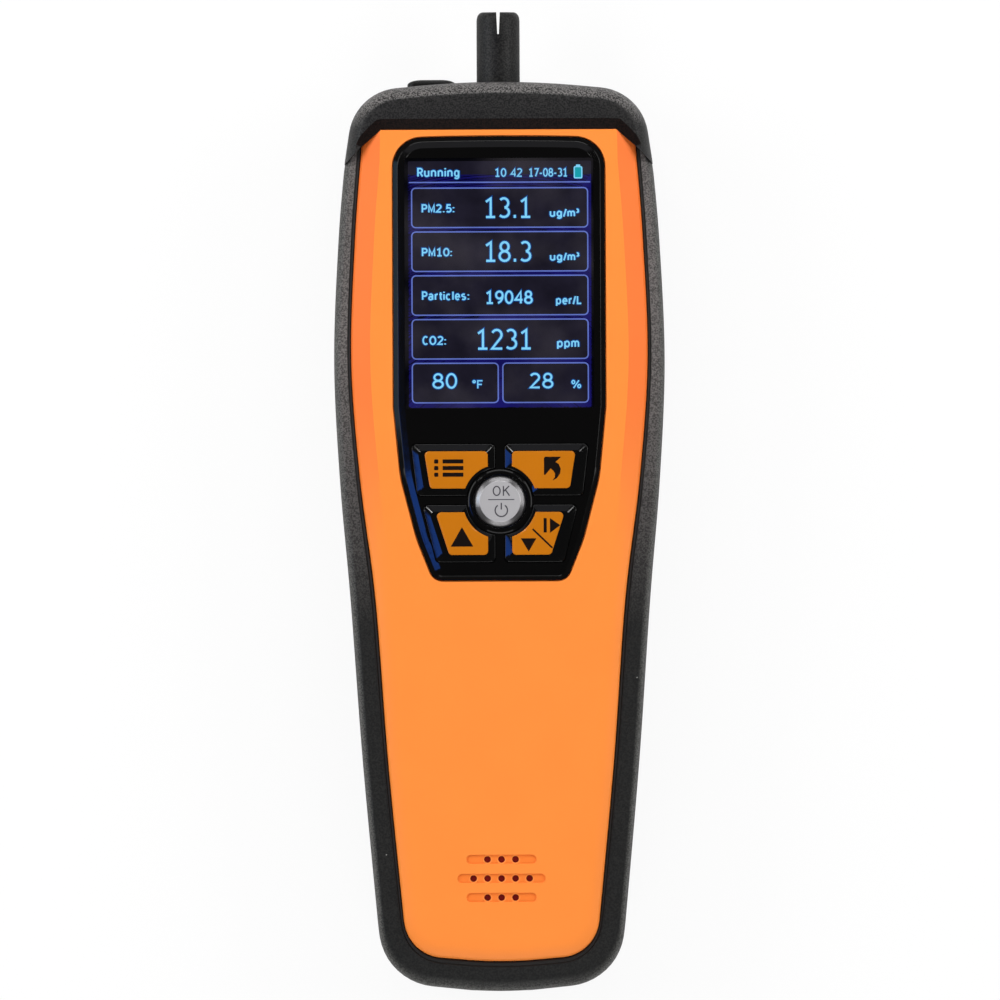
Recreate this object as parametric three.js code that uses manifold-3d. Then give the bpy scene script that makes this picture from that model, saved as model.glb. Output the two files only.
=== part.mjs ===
// Handheld air quality monitor, lying on its back: +Z leaves the display, +Y points to the probe and +X is
// right. The rear face lies on z = 0, and x and y are centred on the overall size. Millimetres throughout.
import * as THREE from "three";
import { mergeVertices } from "three/addons/utils/BufferGeometryUtils.js";
import Module from "manifold-3d";

const wasm = await Module();
wasm.setup();

// ---------------------------------------------------------------- driving dimensions
const bodyLength = 214.6;
const bodyWidth = 78.1;
const thickness = 38;
const probeLength = 16.6;
const probeDiameter = 10.2;
const wall = 2;
const faceWall = 2.25;
const fit = 0.3;
const seam = 0.25;
const splitHeight = 18;

const windowWidth = 49.9;
const windowLength = 104.7;
const windowProud = 1;
const keyProud = 0.5;
const keyTravel = 0.6;
const litWidth = 43.2;
const litLength = 57.6;

// The flanks run from above the foot to below the shoulder. Each row gives a place as a share of that run,
// how far the body has narrowed from its full half width there, and the width of the rubber border.
const flankFoot = 16.7;
const flankHead = 18.5;
const flanks = [
  { at: 0, narrowing: 9.75, border: 6.2 },
  { at: 0.211, narrowing: 6.35, border: 6.0 },
  { at: 0.422, narrowing: 3.65, border: 5.9 },
  { at: 0.58, narrowing: 1.25, border: 4.8 },
  { at: 0.737, narrowing: 0, border: 4.05 },
  { at: 0.895, narrowing: 1.15, border: 3.9 },
  { at: 1, narrowing: 2.75, border: 3.7 },
];

// ---------------------------------------------------------------- levels worked out from them
const probeTip = (bodyLength + probeLength) / 2;
const bodyTop = probeTip - probeLength;
const bodyBottom = bodyTop - bodyLength;
const windowHeight = thickness - keyProud;
const faceHeight = windowHeight - windowProud;
const faceUnderside = faceHeight - faceWall;

// ---------------------------------------------------------------- solids and meshes
// A closed three.js geometry as a solid that can be joined and cut.
function solid(geometry) {
  geometry.deleteAttribute("normal");
  geometry.deleteAttribute("uv");
  const merged = mergeVertices(geometry, 1e-4);
  return new wasm.Manifold(
    new wasm.Mesh({
      numProp: 3,
      vertProperties: merged.attributes.position.array,
      triVerts: new Uint32Array(merged.index.array),
    }),
  );
}

// A solid as a three.js mesh with its node's name and its own material.
const device = new THREE.Group();
function addPiece(name, body, color, roughness = 0.6, metalness = 0, parent = device) {
  const mesh = body.getMesh();
  const geometry = new THREE.BufferGeometry();
  geometry.setAttribute("position", new THREE.BufferAttribute(mesh.vertProperties, 3));
  geometry.setIndex(new THREE.BufferAttribute(mesh.triVerts, 1));
  const material = new THREE.MeshStandardMaterial({ color, roughness, metalness });
  const piece = new THREE.Mesh(geometry, material);
  piece.name = name;
  parent.add(piece);
  return piece;
}

function box(xLow, xHigh, yLow, yHigh, zLow, zHigh) {
  const geometry = new THREE.BoxGeometry(xHigh - xLow, yHigh - yLow, zHigh - zLow);
  geometry.translate((xLow + xHigh) / 2, (yLow + yHigh) / 2, (zLow + zHigh) / 2);
  return solid(geometry);
}

function centredBox(x, y, width, length, zLow, zHigh) {
  return box(x - width / 2, x + width / 2, y - length / 2, y + length / 2, zLow, zHigh);
}

// A round bar along Z.
function post(x, y, radius, zLow, zHigh, sides = 20) {
  const geometry = new THREE.CylinderGeometry(radius, radius, zHigh - zLow, sides);
  geometry.rotateX(Math.PI / 2);
  geometry.translate(x, y, (zLow + zHigh) / 2);
  return solid(geometry);
}

// A round bar along Y.
function barAlongY(x, z, radius, yLow, yHigh, sides = 20) {
  const geometry = new THREE.CylinderGeometry(radius, radius, yHigh - yLow, sides);
  geometry.translate(x, (yLow + yHigh) / 2, z);
  return solid(geometry);
}

// A round bar along X.
function barAlongX(y, z, radius, xLow, xHigh, sides = 16) {
  const geometry = new THREE.CylinderGeometry(radius, radius, xHigh - xLow, sides);
  geometry.rotateZ(Math.PI / 2);
  geometry.translate((xLow + xHigh) / 2, y, z);
  return solid(geometry);
}

// A straight-edged plate between two heights: the outline, grown sideways all round by a margin.
function plate(outline, low, high, margin = 0) {
  const geometry = new THREE.ExtrudeGeometry(new THREE.Shape(outline), {
    depth: high - low,
    bevelEnabled: true,
    bevelThickness: 0,
    bevelSize: margin,
    bevelSegments: 0,
  });
  geometry.translate(0, 0, low);
  return solid(geometry);
}

// A plate whose edges, above and below, curve in by edge sideways over edgeDepth of its height.
function softPlate(outline, low, high, edge, edgeSteps, edgeDepth = edge) {
  const geometry = new THREE.ExtrudeGeometry(new THREE.Shape(outline), {
    depth: high - low - 2 * edgeDepth,
    bevelThickness: edgeDepth,
    bevelSize: edge,
    bevelOffset: -edge,
    bevelSegments: edgeSteps,
  });
  geometry.translate(0, 0, low + edgeDepth);
  return solid(geometry);
}

// Everything between two heights.
const slab = (low, high) => box(-bodyWidth, bodyWidth, -bodyLength, bodyLength, low, high);

// ---------------------------------------------------------------- outlines
// The outline through the corners, each rounded by its own radius where it has one.
function rounded(corners, steps = 5) {
  const outline = [];
  corners.forEach((corner, i) => {
    const here = new THREE.Vector2(corner.x, corner.y);
    if (!corner.r) {
      outline.push(here);
      return;
    }
    const before = corners[(i + corners.length - 1) % corners.length];
    const after = corners[(i + 1) % corners.length];
    const back = new THREE.Vector2(before.x, before.y).sub(here).normalize();
    const on = new THREE.Vector2(after.x, after.y).sub(here).normalize();
    const halfAngle = Math.acos(back.dot(on)) / 2;
    const reach = corner.r / Math.tan(halfAngle);
    const centre = back.clone().add(on).setLength(corner.r / Math.sin(halfAngle)).add(here);
    const from = back.multiplyScalar(reach).add(here).sub(centre).angle();
    const to = on.multiplyScalar(reach).add(here).sub(centre).angle();
    const turn = Math.atan2(Math.sin(to - from), Math.cos(to - from));
    for (let step = 0; step <= steps; step++) {
      const angle = from + (turn * step) / steps;
      const spoke = new THREE.Vector2(Math.cos(angle), Math.sin(angle));
      outline.push(spoke.multiplyScalar(corner.r).add(centre));
    }
  });
  return outline;
}

// A whole outline's corners from those of its right half, which run from foot to top.
function bothSides(half) {
  const left = half.filter((corner) => corner.x > 0).map((corner) => ({ ...corner, x: -corner.x }));
  return [...half, ...left.reverse()];
}

const alongFlank = (share) => bodyBottom + flankFoot + share * (bodyLength - flankFoot - flankHead);

// Points up one flank, drawn smoothly through the table; inset says how far in from the full half width.
function flank(inset, count = 14) {
  const points = flanks.map((row) => new THREE.Vector2(bodyWidth / 2 - inset(row), alongFlank(row.at)));
  return new THREE.SplineCurve(points).getPoints(count);
}

// Points of a gently crowned edge from the centre line out to x, which falls by drop on the way.
function crown(y, x, drop, steps = 3) {
  const points = [];
  for (let step = 0; step < steps; step++) {
    const share = step / steps;
    points.push({ x: x * share, y: y - drop * share * share });
  }
  return points;
}

// The outline seen from the front: grip and end cap together.
const footCorner = { x: bodyWidth / 2 - 11.3, y: bodyBottom + 2.4, r: 14 };
const shoulderCorner = { x: bodyWidth / 2 - 5.2, y: bodyTop - 2.3, r: 12.4 };
const bodyOutline = rounded(
  bothSides([
    ...crown(bodyBottom, 13, -1),
    footCorner,
    ...flank((row) => row.narrowing),
    shoulderCorner,
    ...crown(bodyTop, 22, 1.2).reverse(),
  ]),
);

// The orange panel and the rear cover behind it share one outline inside the grip.
const panelBottom = bodyBottom + 7.2;
const panelTop = bodyTop - 11.3;
const panelFlank = flank((row) => row.narrowing + row.border);
const panelShoulder = { x: bodyWidth / 2 - 6.7, y: panelTop - 4 };
const panelShoulderTop = { x: panelShoulder.x - 4.6, y: panelTop };
const panelOutline = rounded(
  bothSides([
    { x: 0, y: panelBottom },
    { x: bodyWidth / 2 - 17.3, y: panelBottom + 1.5, r: 9.5 },
    ...panelFlank,
    panelShoulder,
    panelShoulderTop,
    { x: 0, y: panelTop },
  ]),
);

// Half width of the panel at a place along the body.
function panelHalfWidth(y) {
  const above = panelFlank.findIndex((point) => point.y >= y);
  const high = panelFlank[above];
  const low = panelFlank[above - 1];
  return THREE.MathUtils.mapLinear(y, low.y, high.y, low.x, high.x);
}

// The window's outline: straight beside the display, drawn in round the keys.
const windowTop = bodyTop - 12.9;
const windowBottom = windowTop - windowLength;
const windowHalf = windowWidth / 2;
const windowOutline = rounded(
  bothSides([
    { x: 0, y: windowBottom },
    { x: windowHalf - 9.3, y: windowBottom, r: 3.2 },
    { x: windowHalf - 5.4, y: windowBottom + 9.7, r: 30 },
    { x: windowHalf - 1.6, y: windowBottom + 24.4, r: 30 },
    { x: windowHalf, y: windowBottom + 41 },
    { x: windowHalf, y: windowTop - 0.4, r: 7 },
    ...crown(windowTop, 16, 0.15).reverse(),
  ]),
);

// ---------------------------------------------------------------- keys: places and outlines
const keyCentreY = windowTop - 86.1;
const okRadius = 6.1;
const okFaceRadius = 4.8;
const inlayCurve = 8.75;
const capCurve = 8;
const capMargin = 1.65;
const capMarginOuter = 3;
const flangeMargin = 0.6;
const keySpread = windowHalf - 24.95;

// One key's outline. across and up turn the corner pattern into its quadrant; grow widens it all round.
const upperKey = { inner: 2.83, near: 3.07, far: 11.9, outerFar: 17.9, outerNear: 16.5 };
const lowerKey = { inner: 2.83, near: 2.48, far: 12.6, outerFar: 12, outerNear: 15.3 };
function keyOutline(across, up, curve, grow, growOuter) {
  const key = up > 0 ? upperKey : lowerKey;
  const inner = key.inner - grow;
  const near = key.near - grow;
  const far = key.far + grow;
  const outerFar = key.outerFar + growOuter + keySpread;
  const outerNear = key.outerNear + growOuter + keySpread;
  const arcStart = Math.asin(near / curve);
  const arcEnd = Math.acos(inner / curve);
  const arc = [];
  for (let step = 0; step <= 5; step++) {
    const angle = THREE.MathUtils.lerp(arcStart, arcEnd, step / 5);
    arc.push({ x: curve * Math.cos(angle), y: curve * Math.sin(angle) });
  }
  const corners = [
    { x: outerNear, y: near, r: 1 },
    { x: outerFar, y: far, r: 1 },
    { x: inner, y: far, r: 1 },
    ...arc.reverse(),
  ];
  const placed = rounded(corners, 3).map((p) => new THREE.Vector2(across * p.x, keyCentreY + up * p.y));
  return across * up > 0 ? placed : placed.reverse();
}

const keys = [
  { name: "menu_key", across: -1, up: 1, switchX: -11.5, switchY: 7.5 },
  { name: "back_key", across: 1, up: 1, switchX: 11.5, switchY: 7.5 },
  { name: "up_key", across: -1, up: -1, switchX: -9, switchY: -8 },
  { name: "down_key", across: 1, up: -1, switchX: 9, switchY: -8 },
];

// ---------------------------------------------------------------- levels inside
const boardThickness = 1.5;
const boardTop = faceUnderside - 4.25;
const boardBottom = boardTop - boardThickness;
const switchBodyHeight = 1.5;
const switchTop = boardTop + 2;
const stemFoot = switchTop + fit + keyTravel;
const windowSeat = windowHeight - 2.25;
const flangeTop = windowSeat - fit + seam;
const flangeFoot = flangeTop - 1.2;

const litTop = windowTop - 5.8;
const litCentreY = litTop - litLength / 2;
const lcdWidth = litWidth + 4.8;
const lcdLength = litLength + 8.8;
const lcdTop = litTop + 3.9;
const lcdBottom = lcdTop - lcdLength;
const paneWidth = litWidth + 1.4;
const paneLength = litLength + 1.4;
const paneFoot = windowHeight - 1.5;

const caseBossRadius = 3.2;
const frontBossRadius = 2.7;
const caseScrewRadius = 1;
const threadRadius = caseScrewRadius + seam;
const boardBossRadius = 2.3;
const boardScrewRadius = 0.8;

const upperScrewY = panelTop - 8.2;
const lowerScrewY = panelBottom + 15.4;
const caseScrewPlaces = [upperScrewY, lowerScrewY].flatMap((y) => {
  const x = panelHalfWidth(y) - wall - caseBossRadius - fit;
  return [
    { x: -x, y },
    { x, y },
  ];
});

const upperBoardScrewY = litCentreY - 11;
const lowerBoardScrewY = panelBottom + 37;
const boardScrewPlaces = [upperBoardScrewY, lowerBoardScrewY].flatMap((y) => {
  const x = panelHalfWidth(y) - wall - boardBossRadius - 2;
  return [
    { x: -x, y },
    { x, y },
  ];
});

// ---------------------------------------------------------------- parts in the end cap: places
const capWall = 2.5;
const capInside = bodyTop - capWall - 0.4;
const probeHeight = splitHeight + 1;
const probeRadius = probeDiameter / 2;
const probeBore = probeRadius - 1.5;
// The inlet stands half way between the probe and the start of the shoulder's curve.
const shoulderStart = bodyWidth / 2 - 12.65;
const inletX = -(probeRadius + shoulderStart) / 2;
const inletWidth = 11.5;
const inletHeight = 8.5;
const ductHeight = 8.5;
const ductWidth = 9;
const ductDepth = 7;
const capBossRadius = 2.4;
const capScrewX = panelShoulderTop.x - 4.8;
const capScrewHeight = ductHeight + inletHeight / 2 + capBossRadius + 2 * fit;

// ---------------------------------------------------------------- grip and end cap
// Where the end cap ends: across the panel's top edge, then slanting down both flanks to the seams.
const seamSlope = 4.3 / 4;
function capRegion(margin) {
  const reach = 20;
  const outline = bothSides([
    { x: panelShoulderTop.x, y: panelTop + fit - margin },
    { x: panelShoulder.x, y: panelShoulder.y + fit - margin },
    { x: panelShoulder.x + reach, y: panelShoulder.y + fit - margin - reach * seamSlope },
    { x: panelShoulder.x + reach, y: bodyTop + reach },
  ]).map((corner) => new THREE.Vector2(corner.x, corner.y));
  return plate(outline, -1, thickness + 1);
}

const gripLow = 2.5;
const gripHigh = faceHeight - 2;
const gripRound = 3;
const portWidth = 12.4;
const portDepth = 8.4;
const socketHeight = boardBottom - 1.5;
const insideGrip = plate(panelOutline, -2, thickness + 2, fit);
const grip = softPlate(bodyOutline, gripLow, gripHigh, gripRound, 3)
  .subtract(insideGrip)
  .subtract(capRegion(fit))
  .subtract(
    centredBox(0, panelBottom, portWidth, 20, socketHeight - portDepth / 2, socketHeight + portDepth / 2),
  );
addPiece("grip_bumper", grip, 0x3a3836, 0.8);

const capLow = 1;
const capHigh = thickness - 0.25;
const capRound = 3;
const capHollow = plate(bodyOutline, capLow + capWall, capHigh - capWall, -capWall).intersect(
  box(-panelShoulderTop.x, panelShoulderTop.x, panelTop - 1, bodyTop, 0, thickness),
);
const capBossFoot = panelTop + 0.5;
const capBoss = (side) =>
  barAlongY(side * capScrewX, capScrewHeight, capBossRadius, capBossFoot, capInside + 1, 14);
const capThread = (side) =>
  barAlongY(side * capScrewX, capScrewHeight, threadRadius, capBossFoot - 1, capBossFoot + 5, 12);
const endCap = softPlate(bodyOutline, capLow, capHigh, capRound, 3)
  .intersect(capRegion(0))
  .subtract(insideGrip)
  .subtract(capHollow)
  .add(capBoss(-1))
  .add(capBoss(1))
  .subtract(capThread(-1))
  .subtract(capThread(1))
  .subtract(barAlongY(0, probeHeight, probeRadius + fit, capInside - 4, bodyTop + 2, 24))
  .subtract(
    box(inletX - inletWidth / 2 - fit, inletX + inletWidth / 2 + fit, capInside - 6, bodyTop + 2,
      ductHeight - inletHeight / 2 - fit, ductHeight + inletHeight / 2 + fit),
  );
addPiece("top_cap", endCap, 0x2b2b2b, 0.65);

// ---------------------------------------------------------------- front cover
const facetWidth = 4.5;
const facetDrop = 2;
const keypadMargin = flangeMargin + 0.45;
const keypadOpening = rounded(
  bothSides([
    { x: 0, y: keyCentreY - lowerKey.far - capMargin - keypadMargin },
    {
      x: lowerKey.outerFar + capMarginOuter + keySpread + keypadMargin,
      y: keyCentreY - lowerKey.far - capMargin - keypadMargin,
    },
    { x: upperKey.outerNear + capMarginOuter + keySpread + keypadMargin, y: keyCentreY },
    {
      x: upperKey.outerFar + capMarginOuter + keySpread + keypadMargin,
      y: keyCentreY + upperKey.far + capMargin + keypadMargin,
    },
    { x: 0, y: keyCentreY + upperKey.far + capMargin + keypadMargin },
  ]),
);
const insideCovers = (low, high) => plate(panelOutline, low, high, -wall);

const grilleRows = [
  { y: panelBottom + 24, holes: 3, slot: 16.5 },
  { y: panelBottom + 19.5, holes: 5, slot: 20.7 },
  { y: panelBottom + 15, holes: 3, slot: 16.5 },
];
const grillePitch = 3.3;
const grilleHoleRadius = 0.75;
const grilleSlotHeight = 2.2;
const grilleSlotDepth = 0.3;
const buzzerY = grilleRows[1].y;

let frontCover = softPlate(panelOutline, splitHeight - 5, faceHeight, facetWidth, 1, facetDrop)
  .intersect(slab(splitHeight, faceHeight))
  .subtract(insideCovers(splitHeight - 1, faceUnderside))
  .subtract(plate(windowOutline, windowSeat - seam, thickness, fit))
  .subtract(centredBox(0, litCentreY, paneWidth + 2, paneLength + 2, 0, thickness))
  .subtract(plate(keypadOpening, 0, thickness));
for (const place of caseScrewPlaces) {
  frontCover = frontCover
    .add(post(place.x, place.y, frontBossRadius, splitHeight, faceUnderside + 0.5, 14))
    .subtract(post(place.x, place.y, threadRadius, splitHeight - 1, splitHeight + 11, 12));
}
for (const place of boardScrewPlaces) {
  frontCover = frontCover
    .add(post(place.x, place.y, boardBossRadius, boardTop + seam, faceUnderside + 0.5, 14))
    .subtract(post(place.x, place.y, boardScrewRadius + seam, boardTop, faceUnderside - 0.5, 12));
}
for (const row of grilleRows) {
  const slotHalf = (row.slot - grilleSlotHeight) / 2;
  const slot = centredBox(0, row.y, 2 * slotHalf, grilleSlotHeight, faceHeight - grilleSlotDepth, thickness)
    .add(post(-slotHalf, row.y, grilleSlotHeight / 2, faceHeight - grilleSlotDepth, thickness, 12))
    .add(post(slotHalf, row.y, grilleSlotHeight / 2, faceHeight - grilleSlotDepth, thickness, 12));
  frontCover = frontCover.subtract(slot);
  for (let hole = 0; hole < row.holes; hole++) {
    const x = (hole - (row.holes - 1) / 2) * grillePitch;
    frontCover = frontCover.subtract(post(x, row.y, grilleHoleRadius, faceUnderside - 1, thickness, 10));
  }
}
const socketOpening = centredBox(0, panelBottom, 8.6, 12, socketHeight - 1.8, socketHeight + 1.8);
const probeFlexOpening = centredBox(0, panelTop - 1, 8, 6, probeHeight - 2, probeHeight + 2);
frontCover = frontCover.subtract(socketOpening).subtract(probeFlexOpening);
addPiece("front_cover", frontCover, 0xff9444, 0.55);

// ---------------------------------------------------------------- rear cover
const rearRound = 5;
const headDepth = 11;
const headRadius = 2.3;
const ventSlot = { width: 1.6, length: 15, pitch: 3.2 };
const sensorWidth = 50;
const sensorLength = 38;
const sensorTop = panelTop - 15.5;
const sensorCentreY = sensorTop - sensorLength / 2;
const fanX = sensorWidth / 2 - 14;
const fanY = sensorCentreY;
const gasY = keyCentreY + 8.5;
const labelWidth = 36;
const labelLength = 26;

let rearCover = softPlate(panelOutline, 0, splitHeight + 10, rearRound, 3)
  .intersect(slab(0, splitHeight - seam))
  .subtract(insideCovers(faceWall, splitHeight + 1));
for (const place of caseScrewPlaces) {
  rearCover = rearCover
    .add(post(place.x, place.y, caseBossRadius, 1.5, splitHeight - seam, 14))
    .subtract(post(place.x, place.y, headRadius + seam, -1, headDepth, 14))
    .subtract(post(place.x, place.y, threadRadius, 0, splitHeight, 12));
}
const vents = [
  { x: fanX, y: fanY, count: 5 },
  { x: 0, y: gasY, count: 3 },
];
for (const vent of vents) {
  for (let slot = 0; slot < vent.count; slot++) {
    const y = vent.y + (slot - (vent.count - 1) / 2) * ventSlot.pitch;
    const louvre = centredBox(vent.x, y, ventSlot.length, ventSlot.width, -1, faceWall + 1);
    rearCover = rearCover.subtract(louvre);
  }
}
rearCover = rearCover
  .subtract(centredBox(0, panelBottom + 62, labelWidth, labelLength, -1, 0.4))
  .subtract(centredBox(inletX, panelTop - 1, ductWidth + 2 * fit, 6, ductHeight - ductDepth / 2 - fit,
    ductHeight + ductDepth / 2 + fit));
const capScrewRadius = 1;
for (const side of [-1, 1]) {
  rearCover = rearCover.subtract(
    barAlongY(side * capScrewX, capScrewHeight, threadRadius, panelTop - 5, panelTop + 1, 12),
  );
}
addPiece("rear_cover", rearCover, 0x2d2d2d, 0.65);

// ---------------------------------------------------------------- window, display pane and keys
const collarRadius = 7.35;
const collarHeight = 0.35;
const okHole = okRadius + fit;
let windowFrame = softPlate(windowOutline, windowHeight - 6, windowHeight, 0.9, 2, 0.6)
  .intersect(slab(windowSeat, windowHeight))
  .add(post(0, keyCentreY, collarRadius, windowSeat, windowHeight + collarHeight, 28))
  .subtract(post(0, keyCentreY, okHole, windowSeat - 1, thickness, 28))
  .subtract(centredBox(0, litCentreY, paneWidth + 2 * fit, paneLength + 2 * fit, 0, thickness));
for (const key of keys) {
  const hole = keyOutline(key.across, key.up, capCurve - fit, capMargin + fit, capMarginOuter + fit);
  windowFrame = windowFrame.subtract(plate(hole, 0, thickness));
}
addPiece("window_frame", windowFrame, 0x060606, 0.15);
addPiece(
  "display_window",
  centredBox(0, litCentreY, paneWidth, paneLength, paneFoot, windowHeight),
  0x101214,
  0.05,
);

const inlayDepth = 0.5;
for (const key of keys) {
  const group = new THREE.Group();
  device.add(group);
  const cap = keyOutline(key.across, key.up, capCurve, capMargin, capMarginOuter);
  const flange = keyOutline(
    key.across, key.up, capCurve - flangeMargin, capMargin + flangeMargin, capMarginOuter + flangeMargin,
  );
  const pocket = keyOutline(key.across, key.up, inlayCurve - 0.1, 0.1, 0.1);
  const inlay = keyOutline(key.across, key.up, inlayCurve, 0, 0);
  const body = softPlate(cap, flangeFoot - 2, thickness, 0.6, 2)
    .intersect(slab(flangeTop - 0.5, thickness))
    .add(plate(flange, flangeFoot, flangeTop))
    .add(post(key.switchX, keyCentreY + key.switchY, 1.5, stemFoot, flangeTop, 14))
    .subtract(plate(pocket, thickness - inlayDepth, thickness + 1));
  addPiece(key.name, body, 0x0a0a0a, 0.2, 0, group);
  const inlayPlate = plate(inlay, thickness - inlayDepth + 0.05, thickness);
  addPiece(`${key.name}_inlay`, inlayPlate, 0xc87814, 0.4, 0, group);
}

const okProfile = [
  [0, stemFoot],
  [1.6, stemFoot],
  [1.6, flangeFoot],
  [okRadius + flangeMargin, flangeFoot],
  [okRadius + flangeMargin, flangeTop],
  [okRadius, flangeTop],
  [okRadius, thickness - 0.9],
  [okRadius - 0.3, thickness - 0.4],
  [okFaceRadius, thickness],
  [0, thickness],
].map(([radius, height]) => new THREE.Vector2(radius, height));
// A turned piece about Z through the given place.
function turned(profile, x, y, segments) {
  const geometry = new THREE.LatheGeometry(profile, segments);
  geometry.rotateX(Math.PI / 2);
  geometry.translate(x, y, 0);
  return solid(geometry);
}
addPiece("ok_key", turned(okProfile, 0, keyCentreY, 32), 0xb8b8bc, 0.3, 0.8);

// ---------------------------------------------------------------- display stack
const lcdHigh = faceUnderside - seam;
const lcdLip = 0.5;
const lcdWall = 0.6;
const rearGlass = 0.75;
const panelHigh = lcdHigh - lcdLip - seam;
const lcdPlate = (margin, low, high) =>
  box(-lcdWidth / 2 + margin, lcdWidth / 2 - margin, lcdBottom + margin, lcdTop - margin, low, high);
const lcdFrame = lcdPlate(0, boardTop + 0.5, lcdHigh)
  .subtract(lcdPlate(lcdWall, boardTop + 1, lcdHigh - lcdLip))
  .subtract(centredBox(0, litCentreY, paneWidth + 2 * fit, paneLength + 2 * fit, lcdHigh - 1, lcdHigh + 1))
  .subtract(centredBox(0, lcdBottom, 25, 4, lcdHigh - 1.6, lcdHigh - lcdLip));
addPiece("lcd_frame", lcdFrame, 0x9a9a9a, 0.4, 0.8);
// The panel's rear glass lies in the frame, and its front glass stands up into the window, behind the pane.
addPiece(
  "lcd_panel",
  lcdPlate(lcdWall + fit, panelHigh - rearGlass, panelHigh)
    .add(centredBox(0, litCentreY, paneWidth, paneLength, panelHigh - rearGlass / 2, paneFoot - fit)),
  0x0a0f24,
  0.2,
);
const backlight = lcdPlate(lcdWall + fit, boardTop + 1 + seam, panelHigh - rearGlass - seam);
addPiece("backlight", backlight, 0xf0f0f0, 0.5);

// A bent strip or wire: the section follows a smooth curve through the points.
function strand(points, radius, sides = 8, steps = 14) {
  const section = [];
  for (let side = 0; side < sides; side++) {
    const angle = (2 * Math.PI * side) / sides;
    section.push(new THREE.Vector2(radius * Math.cos(angle), radius * Math.sin(angle)));
  }
  const extrudePath = new THREE.CatmullRomCurve3(points.map((point) => new THREE.Vector3(...point)));
  return solid(new THREE.ExtrudeGeometry(new THREE.Shape(section), { steps, extrudePath }));
}

// A flat ribbon across X: its side view in Y and Z is given by the points of one face, foot to end.
function ribbon(points, width, thick) {
  const upper = points.map(([y, z]) => new THREE.Vector2(y, z));
  const lower = upper.map((here, i) => {
    const next = upper[Math.min(i + 1, upper.length - 1)];
    const along = next.clone().sub(upper[Math.max(i - 1, 0)]).normalize();
    return new THREE.Vector2(here.x + along.y * thick, here.y - along.x * thick);
  });
  const shape = new THREE.Shape([...upper, ...lower.reverse()]);
  const geometry = new THREE.ExtrudeGeometry(shape, { depth: width, bevelEnabled: false });
  geometry.translate(0, 0, -width / 2);
  geometry.rotateY(Math.PI / 2);
  geometry.rotateX(Math.PI / 2);
  return solid(geometry);
}

// ---------------------------------------------------------------- main board and what sits on it
const boardInset = wall + 1;
const socketLength = 5.6;
let mainBoard = plate(panelOutline, boardBottom, boardTop, -boardInset).subtract(
  box(-bodyWidth, bodyWidth, lcdTop + 0.5, bodyTop, 0, thickness),
);
for (const place of caseScrewPlaces) {
  mainBoard = mainBoard.subtract(post(place.x, place.y, frontBossRadius + 0.5, 0, thickness, 14));
}
for (const place of boardScrewPlaces) {
  mainBoard = mainBoard.subtract(post(place.x, place.y, boardScrewRadius + fit, 0, thickness, 12));
}
addPiece("main_board", mainBoard, 0x1d5a36, 0.5);

// The connector is soldered to the board's upper side. The ribbon leaves the panel's foot and turns back.
addPiece(
  "lcd_flex",
  ribbon(
    [
      [lcdBottom + 0.6, panelHigh - 0.4],
      [lcdBottom - 1.2, panelHigh - 0.4],
      [lcdBottom - 2.1, panelHigh - 0.8],
      [lcdBottom - 2.1, boardTop + 0.9],
      [lcdBottom - 1.2, boardTop + 0.5],
      [lcdBottom - 0.4, boardTop + 0.5],
    ],
    22,
    0.2,
  ),
  0xb5742a,
);

const keySwitch = (x, y) =>
  centredBox(x, y, 5.2, 5.2, boardTop, boardTop + switchBodyHeight).add(
    post(x, y, 1.3, boardTop + switchBodyHeight - 0.2, switchTop, 12),
  );
for (const key of keys) {
  const switchName = key.name.replace("key", "switch");
  addPiece(switchName, keySwitch(key.switchX, keyCentreY + key.switchY), 0x777777, 0.5, 0.3);
}
addPiece("ok_switch", keySwitch(0, keyCentreY), 0x777777, 0.5, 0.3);

const buzzerRadius = 6.5;
const buzzerHigh = faceUnderside - 0.75;
addPiece("buzzer", post(0, buzzerY, buzzerRadius, boardTop, buzzerHigh, 24), 0x151515, 0.5);
addPiece(
  "buzzer_gasket",
  post(0, buzzerY, buzzerRadius, buzzerHigh + 0.125, faceUnderside - 0.125, 24)
    .subtract(post(0, buzzerY, buzzerRadius - 1.5, 0, thickness, 24)),
  0x303030,
  0.9,
);

// ---------------------------------------------------------------- screws
// A pan head with a cross recess, its head towards -Z and its underside at height 0.
function screw(headR, headH, shankR, length) {
  const profile = [
    [0, -headH],
    [headR * 0.7, -headH],
    [headR, -headH * 0.6],
    [headR, 0],
    [shankR, 0],
    [shankR, length - shankR],
    [0, length],
  ].map(([radius, height]) => new THREE.Vector2(radius, height));
  const recess = headR * 0.55;
  return turned(profile, 0, 0, 12)
    .subtract(box(-recess, recess, -0.25, 0.25, -headH - 1, -headH * 0.45))
    .subtract(box(-0.25, 0.25, -recess, recess, -headH - 1, -headH * 0.45));
}
const caseScrew = screw(headRadius, 1.8, caseScrewRadius, splitHeight - headDepth + 9);
caseScrewPlaces.forEach((place, i) => {
  const piece = addPiece(`case_screw_${i + 1}`, caseScrew, 0x8f8f92, 0.35, 0.9);
  piece.position.set(place.x, place.y, headDepth - fit);
});
const boardScrew = screw(1.9, 1.3, boardScrewRadius, boardThickness + 3.8);
boardScrewPlaces.forEach((place, i) => {
  const piece = addPiece(`board_screw_${i + 1}`, boardScrew, 0x8f8f92, 0.35, 0.9);
  piece.position.set(place.x, place.y, boardBottom - fit);
});
const capScrew = screw(1.9, 1.5, capScrewRadius, wall + 4);
[-1, 1].forEach((side, i) => {
  const piece = addPiece(`cap_screw_${i + 1}`, capScrew, 0x8f8f92, 0.35, 0.9);
  piece.rotation.x = -Math.PI / 2;
  piece.position.set(side * capScrewX, panelTop - wall - fit, capScrewHeight);
});

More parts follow.
